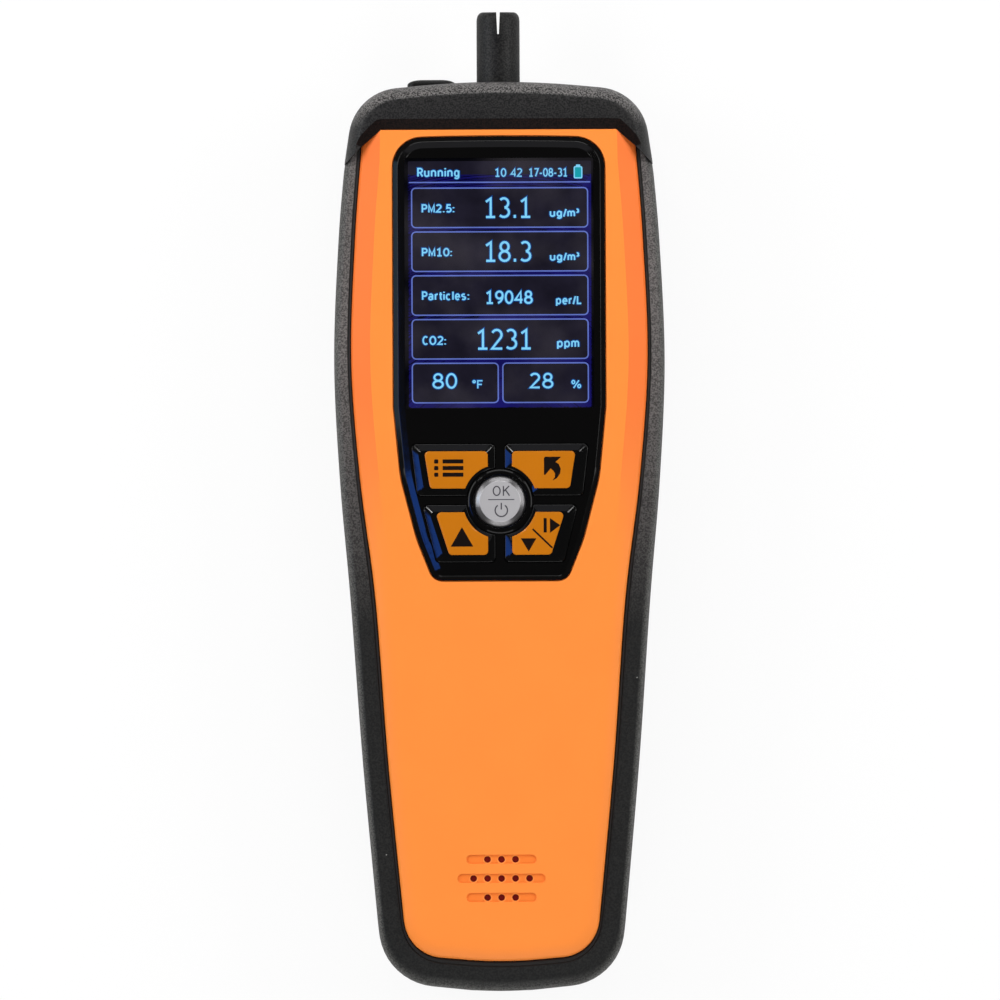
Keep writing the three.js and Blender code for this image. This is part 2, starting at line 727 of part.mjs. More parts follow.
// ---------------------------------------------------------------- dust sensor
const sensorFoot = faceWall + 1;
const trayHeight = 10;
const trayWall = 1.6;
const lidWall = 0.7;
const sensorHigh = Math.min(sensorFoot + 20, boardBottom - 5);
const trayHigh = sensorFoot + trayHeight;
const sensorBox = (margin, low, high) =>
  centredBox(0, sensorCentreY, sensorWidth - 2 * margin, sensorLength - 2 * margin, low, high);
const fanSize = 24;
const fanBore = 10.6;
const fanFoot = sensorFoot + 1.6 + fit;
const fanHeight = trayHigh - fanFoot - 0.5;
const tray = sensorBox(0, sensorFoot, trayHigh)
  .subtract(sensorBox(trayWall, sensorFoot + 1.6, trayHigh + 1))
  .subtract(post(fanX, fanY, fanBore, 0, trayHigh, 28))
  .subtract(centredBox(inletX, sensorTop, 6, 6, ductHeight - 2, ductHeight + 2));
addPiece("dust_sensor_base", tray, 0x25282b, 0.6);
addPiece("dust_sensor_board", sensorBox(lidWall + fit, trayHigh + seam, trayHigh + 1.25), 0x1d5a36, 0.5);
const lid = sensorBox(0, trayHigh + seam, sensorHigh).subtract(
  sensorBox(lidWall, trayHigh - 1, sensorHigh - lidWall),
);
addPiece("dust_sensor_lid", lid, 0xa8abad, 0.35, 0.9);

const postRadius = 3;
const fanFrame = centredBox(fanX, fanY, fanSize, fanSize, fanFoot, fanFoot + fanHeight)
  .subtract(post(fanX, fanY, fanBore, 0, thickness, 28))
  .add(
    centredBox(fanX, fanY, fanSize - 0.5, 1.6, fanFoot, fanFoot + 1)
      .add(centredBox(fanX, fanY, 1.6, fanSize - 0.5, fanFoot, fanFoot + 1)),
  )
  .add(post(fanX, fanY, postRadius, fanFoot, fanFoot + 4, 16));
addPiece("fan_frame", fanFrame, 0x1c1c1c, 0.5);

const hubRadius = 5;
const rotorFoot = fanFoot + 1 + 0.5;
const rotorHigh = fanFoot + fanHeight - 0.7;
let rotor = post(fanX, fanY, hubRadius, rotorFoot, rotorHigh, 20);
const bladeCount = 7;
for (let blade = 0; blade < bladeCount; blade++) {
  const geometry = new THREE.BoxGeometry(fanBore - 0.7 - hubRadius + 1, 0.7, rotorHigh - rotorFoot);
  geometry.rotateX(THREE.MathUtils.degToRad(38));
  geometry.translate((fanBore - 0.7 + hubRadius - 1) / 2, 0, 0);
  geometry.rotateZ((2 * Math.PI * blade) / bladeCount);
  geometry.translate(fanX, fanY, (rotorFoot + rotorHigh) / 2);
  rotor = rotor.add(solid(geometry));
}
rotor = rotor
  .intersect(post(fanX, fanY, fanBore - 0.7, rotorFoot, rotorHigh, 28))
  .subtract(post(fanX, fanY, postRadius + 0.5, rotorFoot - 1, fanFoot + 4.5, 16));
addPiece("fan_rotor", rotor, 0x101010, 0.5);

addPiece(
  "laser_diode",
  barAlongX(sensorCentreY - 8, sensorFoot + 1.6 + fit + 2.8, 2.8, -18, -6)
    .add(barAlongX(sensorCentreY - 8, sensorFoot + 1.6 + fit + 2.8, 1.6, -19.5, -17)),
  0xb08a3c,
  0.3,
  0.9,
);

addPiece("vent_mesh", centredBox(fanX, fanY, 20, 19, faceWall + 0.25, faceWall + 0.75), 0x6b6b6b, 0.5, 0.6);

// ---------------------------------------------------------------- inlet and duct
const inletFoot = capInside - 4;
const inletProud = 0.75;
const inletTop = bodyTop + inletProud;
const ductTop = inletFoot - fit - 1;
const duct = box(
  inletX - ductWidth / 2, inletX + ductWidth / 2, sensorTop + fit, ductTop,
  ductHeight - ductDepth / 2, ductHeight + ductDepth / 2,
).subtract(
  box(
    inletX - ductWidth / 2 + 1.2, inletX + ductWidth / 2 - 1.2, sensorTop, ductTop + 1,
    ductHeight - ductDepth / 2 + 1.2, ductHeight + ductDepth / 2 - 1.2,
  ),
);
addPiece("inlet_duct", duct, 0x2a2a2a, 0.8);
addPiece(
  "inlet_filter",
  box(
    inletX - ductWidth / 2, inletX + ductWidth / 2, ductTop + 0.2, inletFoot - 0.2,
    ductHeight - ductDepth / 2, ductHeight + ductDepth / 2,
  ),
  0x5c5f60,
  0.9,
);
let inletGrille = box(
  inletX - inletWidth / 2, inletX + inletWidth / 2, inletFoot, inletTop,
  ductHeight - inletHeight / 2, ductHeight + inletHeight / 2,
);
for (const slot of [-1, 0, 1]) {
  inletGrille = inletGrille.subtract(
    centredBox(inletX + slot * 3.2, bodyTop, 1.8, 10, ductHeight - 3, ductHeight + 3),
  );
}
addPiece("inlet_grille", inletGrille, 0x101010, 0.2);

// ---------------------------------------------------------------- probe
const flangeRadius = probeRadius + 2.1;
const sealHigh = capInside - 0.2;
const probeFlangeHigh = sealHigh - 1.1;
const probeProfile = [
  [probeBore, probeFlangeHigh - 1.4],
  [flangeRadius, probeFlangeHigh - 1.4],
  [flangeRadius, probeFlangeHigh],
  [probeRadius, probeFlangeHigh],
  [probeRadius, probeTip - 1],
  [probeRadius - 0.35, probeTip - 0.3],
  [probeRadius - 1, probeTip],
  [probeBore, probeTip],
  [probeBore, probeFlangeHigh - 1.4],
].map(([radius, height]) => new THREE.Vector2(radius, height));
const slitLength = 6.1;
const slitWidth = 0.9;
const slit = new THREE.Shape([
  new THREE.Vector2(-slitWidth / 2, probeTip + 1),
  new THREE.Vector2(-slitWidth / 4, probeTip - slitLength),
  new THREE.Vector2(slitWidth / 4, probeTip - slitLength),
  new THREE.Vector2(slitWidth / 2, probeTip + 1),
]);
const slitCut = new THREE.ExtrudeGeometry(slit, { depth: probeDiameter + 2, bevelEnabled: false });
slitCut.translate(0, 0, -probeRadius - 1);
const crossSlitCut = slitCut.clone().rotateY(Math.PI / 2);
const probeTube = new THREE.LatheGeometry(probeProfile, 28);
const probe = solid(probeTube).subtract(solid(slitCut)).subtract(solid(crossSlitCut));
addPiece("probe_tube", probe.translate(0, 0, probeHeight), 0x2d2d2d, 0.5);

addPiece(
  "probe_seal",
  barAlongY(0, probeHeight, flangeRadius - 0.2, probeFlangeHigh + 0.2, sealHigh, 24)
    .subtract(barAlongY(0, probeHeight, probeRadius + 0.3, 0, bodyTop, 24)),
  0x1a1a1a,
  0.9,
);
const humidityFoot = panelTop + 1;
const humidityHalf = probeBore - 0.8;
const humidityTip = probeTip - slitLength - 0.3;
addPiece(
  "humidity_board",
  box(-humidityHalf, humidityHalf, humidityFoot, humidityTip, probeHeight - 0.5, probeHeight + 0.3)
    .add(box(-1.25, 1.25, humidityTip - 4, humidityTip - 1.5, probeHeight + 0.3, probeHeight + 1.2)),
  0x1d5a36,
  0.5,
);
// The ribbon passes the end wall and turns up to the underside of the main board.
const probeFlexFoot = probeHeight + 0.1;
const probeFlexRise = boardBottom - 0.25 - probeFlexFoot;
addPiece(
  "probe_flex",
  ribbon(
    [
      [humidityFoot - 0.3, probeFlexFoot],
      [lcdTop + 1, probeFlexFoot],
      [lcdTop - 3, probeFlexFoot + 0.05 * probeFlexRise],
      [lcdTop - 4.6, probeFlexFoot + 0.23 * probeFlexRise],
      [lcdTop - 5, probeFlexFoot + 0.43 * probeFlexRise],
      [lcdTop - 5, probeFlexFoot + probeFlexRise],
    ],
    5,
    0.2,
  ),
  0xb5742a,
);

// ---------------------------------------------------------------- gas sensor
const gasBoardHigh = boardBottom - 5;
addPiece(
  "gas_sensor_board",
  centredBox(0, gasY, 20, 33, gasBoardHigh - 1.25, gasBoardHigh)
    .add(centredBox(0, gasY + 14.5, 12, 2.4, gasBoardHigh - 0.5, boardBottom - fit))
    .add(centredBox(0, gasY - 14.5, 12, 2.4, gasBoardHigh - 0.5, boardBottom - fit)),
  0x1d3f6e,
  0.5,
);
addPiece(
  "gas_chamber",
  softPlate(
    rounded(bothSides([
      { x: 8.5, y: gasY - 13, r: 3 },
      { x: 8.5, y: gasY + 13, r: 3 },
    ])),
    gasBoardHigh - 10.5, gasBoardHigh - 1.5, 1, 1,
  ),
  0xd8c07a,
  0.3,
  0.9,
);

// ---------------------------------------------------------------- battery and leads
const batteryTop = gasY - 21;
const batteryBottom = panelBottom + 30;
const batteryHalf = panelHalfWidth(batteryBottom) - wall - 7;
const batteryFoot = faceWall + 1.5;
addPiece(
  "battery_pad",
  box(
    -batteryHalf + 2, batteryHalf - 2, batteryBottom + 3, batteryTop - 3, faceWall + 0.25, batteryFoot - 0.25,
  ),
  0x8a8a8a,
  0.95,
);
addPiece(
  "battery_cell",
  softPlate(
    rounded(bothSides([
      { x: batteryHalf, y: batteryBottom, r: 2 },
      { x: batteryHalf, y: batteryTop, r: 2 },
    ]), 2),
    batteryFoot, batteryFoot + 9, 1.5, 2,
  ),
  0xb9bcc0,
  0.4,
  0.4,
);
const plugX = 14;
const plugY = batteryTop + 8;
addPiece("battery_connector", centredBox(plugX, plugY, 7, 5, boardBottom - 4, boardBottom), 0xe9e4d2, 0.6);
for (const lead of [
  { name: "battery_lead_red", shift: -1.2, color: 0xb02020 },
  { name: "battery_lead_black", shift: 1.2, color: 0x151515 },
]) {
  const x = plugX + lead.shift;
  addPiece(
    lead.name,
    strand(
      [
        [x - 6, batteryTop + 0.35, batteryFoot + 5],
        [x - 6, batteryTop + 2.5, batteryFoot + 5],
        [x - 4, batteryTop + 6, batteryFoot + 6.5],
        [x - 0.5, plugY, batteryFoot + 9.5],
        [x, plugY, boardBottom - 7],
        [x, plugY, boardBottom - 4.35],
      ],
      0.6,
    ),
    lead.color,
    0.6,
  );
}

// ---------------------------------------------------------------- charging socket
const socketLow = boardBottom - 3;
const socketMouth = panelBottom + 0.3;
const socketEnd = socketMouth + socketLength;
const socketShell = box(-4, 4, socketMouth, socketEnd, socketLow, boardBottom - 0.001).subtract(
  box(-3.65, 3.65, socketMouth - 1, socketEnd - 0.4, socketLow + 0.35, boardBottom - 0.35),
);
addPiece("usb_socket", socketShell, 0xb8b8b8, 0.3, 0.9);
addPiece(
  "usb_tongue",
  box(-2.7, 2.7, socketMouth + 0.8, socketEnd - 1.5, socketHeight, socketHeight + 0.7)
    .add(box(-3.4, 3.4, socketEnd - 2, socketEnd - 0.7, socketLow + 0.6, boardBottom - 0.6)),
  0x1a1a1a,
  0.5,
);

export default device;
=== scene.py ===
import math

import bmesh
import bpy
from mathutils import Matrix, Vector
from mathutils.geometry import tessellate_polygon


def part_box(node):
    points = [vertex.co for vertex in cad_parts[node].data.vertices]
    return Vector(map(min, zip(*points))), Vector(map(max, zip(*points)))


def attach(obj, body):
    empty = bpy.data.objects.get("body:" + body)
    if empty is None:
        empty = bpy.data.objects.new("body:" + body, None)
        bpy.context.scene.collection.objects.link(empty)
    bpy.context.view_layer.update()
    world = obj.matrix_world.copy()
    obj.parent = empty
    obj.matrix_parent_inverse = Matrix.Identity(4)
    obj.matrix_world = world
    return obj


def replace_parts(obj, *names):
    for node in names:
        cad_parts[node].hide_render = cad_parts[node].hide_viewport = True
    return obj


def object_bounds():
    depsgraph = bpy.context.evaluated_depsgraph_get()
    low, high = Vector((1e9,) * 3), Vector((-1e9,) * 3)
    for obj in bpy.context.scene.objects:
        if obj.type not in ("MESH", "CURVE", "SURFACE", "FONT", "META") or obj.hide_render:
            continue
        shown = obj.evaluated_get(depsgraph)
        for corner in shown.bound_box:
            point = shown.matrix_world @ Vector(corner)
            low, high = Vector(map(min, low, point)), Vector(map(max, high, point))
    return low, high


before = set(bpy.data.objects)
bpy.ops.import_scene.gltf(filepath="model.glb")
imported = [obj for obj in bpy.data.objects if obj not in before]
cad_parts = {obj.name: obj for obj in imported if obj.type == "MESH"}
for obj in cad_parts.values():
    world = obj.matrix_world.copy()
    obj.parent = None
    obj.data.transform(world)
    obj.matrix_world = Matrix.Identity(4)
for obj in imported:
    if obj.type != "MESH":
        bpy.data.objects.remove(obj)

cad_low, cad_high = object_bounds()

# ------------------------------------------------------------------ studio
# The monitor lies on its back on a pale sheet. A long lens looks straight down at the display, and four soft
# panels stand round the lens at a slant, so that polished faces turned straight up mirror the dark middle.
mm = 0.001
scene = bpy.context.scene
scene.view_settings.view_transform = "Standard"
view_width, view_rise, view_turn = 235.75 * mm, 0.35 * mm, -0.0042
lens = bpy.data.cameras.new("camera")
lens.lens = 1200
lens.sensor_width = 36
lens.clip_end = 60
camera = bpy.data.objects.new("camera", lens)
camera.location = (0, view_rise, cad_high.z + view_width * lens.lens / lens.sensor_width)
camera.rotation_euler = (0, 0, view_turn)
scene.collection.objects.link(camera)
scene.camera = camera

# Name, azimuth, slant from straight up, width, height, power and colour. The accents only show as reflections
# in polished edges.
panel_distance = 0.9
white, blue = (1, 1, 1), (0.04, 0.2, 1)
for name, azimuth, slant, wide, high, power, colour in (
    ("light_left", 165, 52, 0.7, 0.36, 4.3, white),
    ("light_right", 15, 52, 0.7, 0.36, 3.9, white),
    ("light_top", 90, 52, 0.7, 0.36, 4.3, white),
    ("light_foot", 270, 52, 0.7, 0.36, 3.3, white),
    ("accent_keys", 188, 24.5, 0.22, 0.08, 0.14, blue),
    ("accent_frame", 196, 18.5, 0.1, 0.09, 0.07, blue),
    ("accent_ring", 172, 68, 0.3, 0.22, 0.6, (0.45, 0.72, 1)),
    ("accent_top", 92, 24, 0.6, 0.16, 0.06, (0.9, 0.9, 1)),
    ("accent_corner", 130, 17, 0.04, 0.04, 0.07, white),
    ("accent_far_corner", 48, 17, 0.04, 0.04, 0.04, white),
):
    lamp = bpy.data.lights.new(name, "AREA")
    lamp.shape = "RECTANGLE"
    lamp.size = wide
    lamp.size_y = high
    lamp.energy = power
    lamp.color = colour
    light = bpy.data.objects.new(name, lamp)
    around, down = math.radians(azimuth), math.radians(slant)
    place = Vector((math.cos(around) * math.sin(down), math.sin(around) * math.sin(down), math.cos(down)))
    light.location = place * panel_distance
    light.rotation_euler = place.to_track_quat("Z", "Y").to_euler()
    light.visible_diffuse = not name.startswith("accent")
    scene.collection.objects.link(light)


def linked(tree, kind, values=(), operation=None, **links):
    """A shader node with some inputs set, and others linked to sockets or to nodes' first outputs. A link
    named _0 goes to the first input."""
    node = tree.nodes.new(f"ShaderNode{kind}")
    if operation:
        node.operation = operation
    for key, value in dict(values).items():
        node.inputs[key].default_value = value
    for key, source in links.items():
        socket = source if isinstance(source, bpy.types.NodeSocket) else source.outputs[0]
        tree.links.new(socket, node.inputs[int(key[1:]) if key[0] == "_" else key])
    return node


def axis_of(tree, vector, axis):
    return linked(tree, "SeparateXYZ", _0=vector).outputs[axis]


def seen_directly(tree):
    """1 for what the camera sees straight or through something clear, and 0 for all other light."""
    rays = linked(tree, "LightPath").outputs
    return linked(tree, "Math", operation="MAXIMUM", _0=rays["Is Camera Ray"], _1=rays["Is Transmission Ray"])


def bare_material(name):
    """A new material with no nodes yet, and its node tree."""
    material = bpy.data.materials.new(name)
    material.use_nodes = True
    material.node_tree.nodes.clear()
    return material, material.node_tree


world = bpy.data.worlds.new("studio")
scene.world = world
world.use_nodes = True
tree = world.node_tree
tree.nodes.clear()
ramp = linked(tree, "ValToRGB", _0=axis_of(tree, linked(tree, "TexCoord").outputs["Generated"], "Z"))
shades = (0.3, (0.35, 0.35, 0.35, 1)), (0.9, (0.02, 0.02, 0.022, 1))
for element, (position, shade) in zip(ramp.color_ramp.elements, shades):
    element.position = position
    element.color = shade
sky = linked(tree, "Background", {"Strength": 0.5}, _0=ramp)
# Beyond the sheet there is a white backdrop, which lights nothing.
backdrop = linked(tree, "Background", {"Color": (0.93, 0.93, 0.93, 1)})
mix = linked(tree, "MixShader", _0=seen_directly(tree), _1=sky, _2=backdrop)
linked(tree, "OutputWorld", _0=mix)

reach = 20
corners = [(-reach, -reach, 0), (reach, -reach, 0), (reach, reach, 0), (-reach, reach, 0)]
sheet = bpy.data.meshes.new("sheet")
sheet.from_pydata(corners, [], [(0, 1, 2, 3)])
floor = bpy.data.objects.new("floor", sheet)
scene.collection.objects.link(floor)
paper, tree = bare_material("paper")
diffuse = linked(tree, "BsdfDiffuse", {"Color": (0.92, 0.92, 0.92, 1)})
share = linked(tree, "Math", {1: 0.9}, "MULTIPLY", _0=seen_directly(tree))
mix = linked(tree, "MixShader", _0=share, _1=diffuse, _2=linked(tree, "Emission"))
linked(tree, "OutputMaterial", _0=mix)
sheet.materials.append(paper)

# ------------------------------------------------------------------ grip bumper
# One U of soft grey-black rubber slipped round both flanks and the foot. It is moulded with a fat outer roll
# and a low inner strip beside the orange panel, and a window at the foot for the charging plug.
body_half = (cad_high.x - cad_low.x) / 2 / mm
grip_low, grip_high = (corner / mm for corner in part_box("grip_bumper"))
cap_low, cap_high = (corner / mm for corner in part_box("top_cap"))
panel_low, panel_high = (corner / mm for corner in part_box("front_cover"))
body_foot, body_top = grip_low.y, cap_high.y
body_length = body_top - body_foot
slit_gap = 0.12

# Up one flank from foot to shoulder: share of the way, narrowing of the body, width of the rubber border.
FLANKS = (
    (0, 9.75, 6.2),
    (0.211, 6.35, 6.0),
    (0.422, 3.65, 5.9),
    (0.58, 1.25, 4.8),
    (0.737, 0.0, 4.05),
    (0.895, 1.15, 3.9),
    (1, 2.75, 3.7),
)
flank_foot, flank_head = 16.7, 18.5


def flank(border):
    """Smooth points up the right flank of the body, or of the panel when border is 1."""
    steps = 9
    run = body_length - flank_foot - flank_head
    keys = [Vector((body_half - n - border * b, body_foot + flank_foot + at * run)) for at, n, b in FLANKS]
    ends = [keys[0], *keys, keys[-1]]
    points = []
    for i in range(1, len(keys)):
        a, b, c, d = ends[i - 1 : i + 3]
        for step in range(steps):
            t = step / steps
            bend = (c - a) * t + (2 * a - 5 * b + 4 * c - d) * t**2 + (3 * (b - c) + d - a) * t**3
            points.append(b + bend / 2)
    return points + [keys[-1]]


def rounded(corners, steps=12):
    """The outline through (x, y, radius) corners, each turned with its own radius."""
    outline = []
    for i, (x, y, radius) in enumerate(corners):
        here = Vector((x, y))
        if not radius:
            outline.append(here)
            continue
        back = (Vector(corners[i - 1][:2]) - here).normalized()
        on = (Vector(corners[(i + 1) % len(corners)][:2]) - here).normalized()
        half = math.acos(max(-1, min(1, back.dot(on)))) / 2
        centre = here + (back + on).normalized() * radius / math.sin(half)
        start = here + back * radius / math.tan(half) - centre
        turn = start.angle_signed(here + on * radius / math.tan(half) - centre)
        for step in range(steps + 1):
            outline.append(centre + Matrix.Rotation(-turn * step / steps, 2) @ start)
    return outline


def block(x_low, x_high, y_low, y_high, radius, steps=6):
    """A rectangle with round corners."""
    corners = (x_high, y_low), (x_high, y_high), (x_low, y_high), (x_low, y_low)
    return rounded([(x, y, radius) for x, y in corners], steps)


def both_sides(half):
    """A whole outline's corners from those of its right half, foot first."""
    left = [(-x, y, r) for x, y, r in half if x > 1e-6]
    return half + left[::-1]


def plain(points):
    """Points as corners that aren't rounded."""
    return [(p.x, p.y, 0) for p in points]


def crowned(y, x, drop):
    """Corners of a slightly curved end, from the middle towards the place x beside it."""
    steps = 5
    return [(x * s / steps, y - drop * (s / steps) ** 2, 0) for s in range(steps)]


def outline_normals(outline):
    """Unit vectors that point out of a counter-clockwise outline, lengthened at its corners."""
    out = []
    for i, here in enumerate(outline):
        before = (here - outline[i - 1]).normalized()
        after = (outline[(i + 1) % len(outline)] - here).normalized()
        n0, n1 = Vector((before.y, -before.x)), Vector((after.y, -after.x))
        n = (n0 + n1).normalized()
        out.append(n / max(0.5, n.dot(n0)))
    return out


def grown(outline, margin):
    return [p + n * margin for p, n in zip(outline, outline_normals(outline))]


def mesh_piece(name, verts, faces):
    """A mesh piece from millimetre points, with its faces turned out."""
    mesh = bpy.data.meshes.new(name)
    mesh.from_pydata([Vector(v) * mm for v in verts], [], faces)
    shape = bmesh.new()
    shape.from_mesh(mesh)
    bmesh.ops.remove_doubles(shape, verts=shape.verts, dist=1e-7)
    bmesh.ops.recalc_face_normals(shape, faces=shape.faces)
    shape.to_mesh(mesh)
    shape.free()
    piece = bpy.data.objects.new(name, mesh)
    scene.collection.objects.link(piece)
    return piece


def lofted(name, rings):
    """A skin over rings of equally many points, closed by a face on the first and on the last ring."""
    count = len(rings[0])
    verts = [p for ring in rings for p in ring]
    faces = []
    for r in range(len(rings) - 1):
        for i in range(count):
            j = (i + 1) % count
            faces.append((r * count + i, r * count + j, (r + 1) * count + j, (r + 1) * count + i))
    faces.append(tuple(range(count))[::-1])
    faces.append(tuple(range((len(rings) - 1) * count, len(rings) * count)))
    return mesh_piece(name, verts, faces)


def at_height(outline, z):
    return [(p.x, p.y, z) for p in outline]


def prism(name, outline, low, high):
    return lofted(name, [at_height(outline, low), at_height(outline, high)])


def stack(name, outline, steps):
    """A piece lofted from one outline: steps give how far it is grown, and its height."""
    return lofted(name, [at_height(grown(outline, margin), z) for margin, z in steps])


def evaluated(piece):
    """Bakes a piece's modifiers into its mesh."""
    graph = bpy.context.evaluated_depsgraph_get()
    mesh = bpy.data.meshes.new_from_object(piece.evaluated_get(graph))
    piece.modifiers.clear()
    old, piece.data = piece.data, mesh
    bpy.data.meshes.remove(old)
    return piece


def combined(piece, tools, operation="DIFFERENCE"):
    """Cuts the tools out of a piece, joins them to it, or keeps what they share; the tools are used up."""
    for tool in tools:
        change = piece.modifiers.new("change", "BOOLEAN")
        change.operation = operation
        change.solver = "EXACT"
        change.object = tool
    evaluated(piece)
    for tool in tools:
        bpy.data.objects.remove(tool)
    return piece


def smoothed(piece, angle):
    """Smooth shading with crisp edges, and flat faces kept flat where they meet small curves."""
    piece.data.shade_smooth()
    piece.data.set_sharp_from_angle(angle=math.radians(angle))
    weighted = piece.modifiers.new("weighted", "WEIGHTED_NORMAL")
    weighted.keep_sharp = True
    return evaluated(piece)


def ranged(tree, value, source, target=(0, 1)):
    """A value carried from its source range to a target range, and held at the ends."""
    ends = {"From Min": source[0], "From Max": source[1], "To Min": target[0], "To Max": target[1]}
    return linked(tree, "MapRange", ends, Value=value).outputs["Result"]


def blended(tree, factor, first, second):
    """A colour between two, each a tuple or a socket."""
    node = tree.nodes.new("ShaderNodeMix")
    node.data_type = "RGBA"
    for socket, value in (("A", first), ("B", second)):
        if isinstance(value, tuple):
            node.inputs[socket].default_value = (*value, 1)
        else:
            tree.links.new(value, node.inputs[socket])
    tree.links.new(factor, node.inputs["Factor"])
    return node.outputs["Result"]


def moulded(name, colour, roughness, grain, depth, mottle=0.05, spread=0.06, specular=0.5, metallic=0.0,
            dust=0.0, far=None, painted_lean=None, lean_to="Z", painted_wall=None, pepper=0.0):
    """A moulded finish: fine grain of a given size and depth in millimetres, slight mottling of tone and
    shine, dust as the share of grains that carry a pale speck, and pepper as the unevenness from grain to
    grain. far is a painted shade, the colour towards the foot of the body. lean is painted light and shade,
    the colour of faces turned away from straight up, or with lean_to "Y" of faces turned to the sensor end.
    wall, given with lean, is painted shade, the colour of upright sides."""
    material = bpy.data.materials.new(name)
    material.use_nodes = True
    tree = material.node_tree
    shader = tree.nodes["Principled BSDF"].inputs
    shader["Metallic"].default_value = metallic
    shader["Specular IOR Level"].default_value = specular
    where = linked(tree, "TexCoord").outputs
    spot = where["Object"]
    fine = linked(tree, "TexNoise", {"Scale": 1 / (grain * mm), "Detail": 3}, Vector=spot)
    broad = linked(tree, "TexNoise", {"Scale": 90, "Detail": 4}, Vector=spot)

    def toned(base):
        dark = tuple(c * (1 - mottle) for c in base)
        return blended(tree, broad.outputs["Fac"], dark, tuple(min(1, c * (1 + mottle)) for c in base))

    tone = toned(colour)
    # Painted shade: the colour changes towards the foot of the body.
    if far:
        along = ranged(tree, axis_of(tree, spot, "Y"), (35 * mm, -30 * mm))
        tone = blended(tree, along, tone, toned(far))
    # Painted light and shade, chosen by which way each face is turned.
    if painted_lean:
        turned = (0.96, 0.55) if lean_to == "Z" else (0.2, 0.6)
        tilt = ranged(tree, axis_of(tree, where["Normal"], lean_to), turned)
        upright = ranged(tree, axis_of(tree, where["Normal"], "Z"), (0.32, 0.04))
        tone = blended(tree, upright, blended(tree, tilt, tone, toned(painted_lean)), toned(painted_wall))
    if pepper:
        grains = linked(tree, "TexNoise", {"Scale": 2600, "Detail": 2}, Vector=spot)
        level = ranged(tree, grains, (0.4, 0.6), (1 - pepper, 1 + pepper))
        tone = linked(tree, "VectorMath", operation="MULTIPLY", _0=tone, _1=level).outputs["Vector"]
    if dust:
        cells = linked(tree, "TexVoronoi", {"Scale": 1400}, Vector=spot).outputs
        near = linked(tree, "Math", {1: 0.2}, "LESS_THAN", _0=cells["Distance"])
        rare = linked(tree, "Math", {1: dust}, "LESS_THAN", _0=axis_of(tree, cells["Color"], "X"))
        speck = linked(tree, "Math", operation="MULTIPLY", _0=near, _1=rare)
        tone = blended(tree, speck.outputs[0], tone, (0.3, 0.3, 0.29))
    shine = ranged(tree, fine, (0, 1), (roughness - spread, roughness + spread))
    bump = linked(tree, "Bump", {"Distance": depth * mm, "Strength": 1}, Height=fine)
    tree.links.new(tone, shader["Base Color"])
    tree.links.new(shine, shader["Roughness"])
    tree.links.new(bump.outputs["Normal"], shader["Normal"])
    return material


def dressed(piece, *materials):
    """Puts materials on a piece, in place of those it has. Each face keeps its choice among several."""
    chosen = [polygon.material_index for polygon in piece.data.polygons]
    piece.data.materials.clear()
    for material in materials:
        piece.data.materials.append(material)
    if len(materials) > 1:
        piece.data.polygons.foreach_set("material_index", chosen)
    return piece


def marked(piece, test):
    """Gives the second material to the faces that pass a test, and the first to the rest."""
    for polygon in piece.data.polygons:
        polygon.material_index = 1 if test(polygon) else 0


# The panel's outline, shared by the orange front cover and the rear cover, and the body's own outline.
panel_foot, panel_top = panel_low.y, panel_high.y
shoulder = Vector((body_half - 6.65, panel_top - 4))
shoulder_top = Vector((shoulder.x - 4.6, panel_top))
panel_lower = [*crowned(panel_foot, 8, -0.3), (body_half - 17.3, panel_foot + 1.5, 9.5), *plain(flank(1))]
panel_outline = rounded(both_sides([
    *panel_lower, (*shoulder, 0), (*shoulder_top, 0), (shoulder_top.x - 4, panel_top, 0), (0, panel_top, 0),
]))
body_outline = rounded(both_sides([
    *crowned(body_foot, 13, -1),
    (body_half - 11.3, body_foot + 2.4, 14),
    *plain(flank(0)),
    (body_half - 5.2, body_top - 2.3, 12.4),
    *crowned(body_top, 22, 1.2)[::-1],
]))


def stretch(outline, x_end, y_end, count):
    """The outline's right half from the foot's middle to the point nearest (x_end, y_end), evenly spaced."""
    half = [p for p in outline[: len(outline) // 2 + 2] if p.x > -1e-6]
    last = min(range(len(half)), key=lambda i: (half[i] - Vector((x_end, y_end))).length)
    half = half[: last + 1]
    half[-1] = Vector((x_end, y_end))
    run = [0.0]
    for a, b in zip(half, half[1:]):
        run.append(run[-1] + (b - a).length)
    points = []
    for k in range(count):
        goal = run[-1] * k / (count - 1)
        i = max(j for j in range(len(run)) if run[j] <= goal + 1e-9)
        i = min(i, len(half) - 2)
        points.append(half[i].lerp(half[i + 1], (goal - run[i]) / (run[i + 1] - run[i])))
    return points


seam_slope = 4.3 / 4
seam_inner = Vector((shoulder.x + slit_gap, shoulder.y - slit_gap))
seam_outer_x = body_half - 2.75
seam_outer = Vector((seam_outer_x, seam_inner.y - (seam_outer_x - seam_inner.x) * seam_slope))
stations = 120
outer = stretch(body_outline, *seam_outer, stations)
inner = stretch(grown(panel_outline, slit_gap), *seam_inner, stations)
z_low, z_high = grip_low.z, grip_high.z
strip, roll_x, roll_z, inner_edge = 1.25, 2.5, 3.4, -1e-6
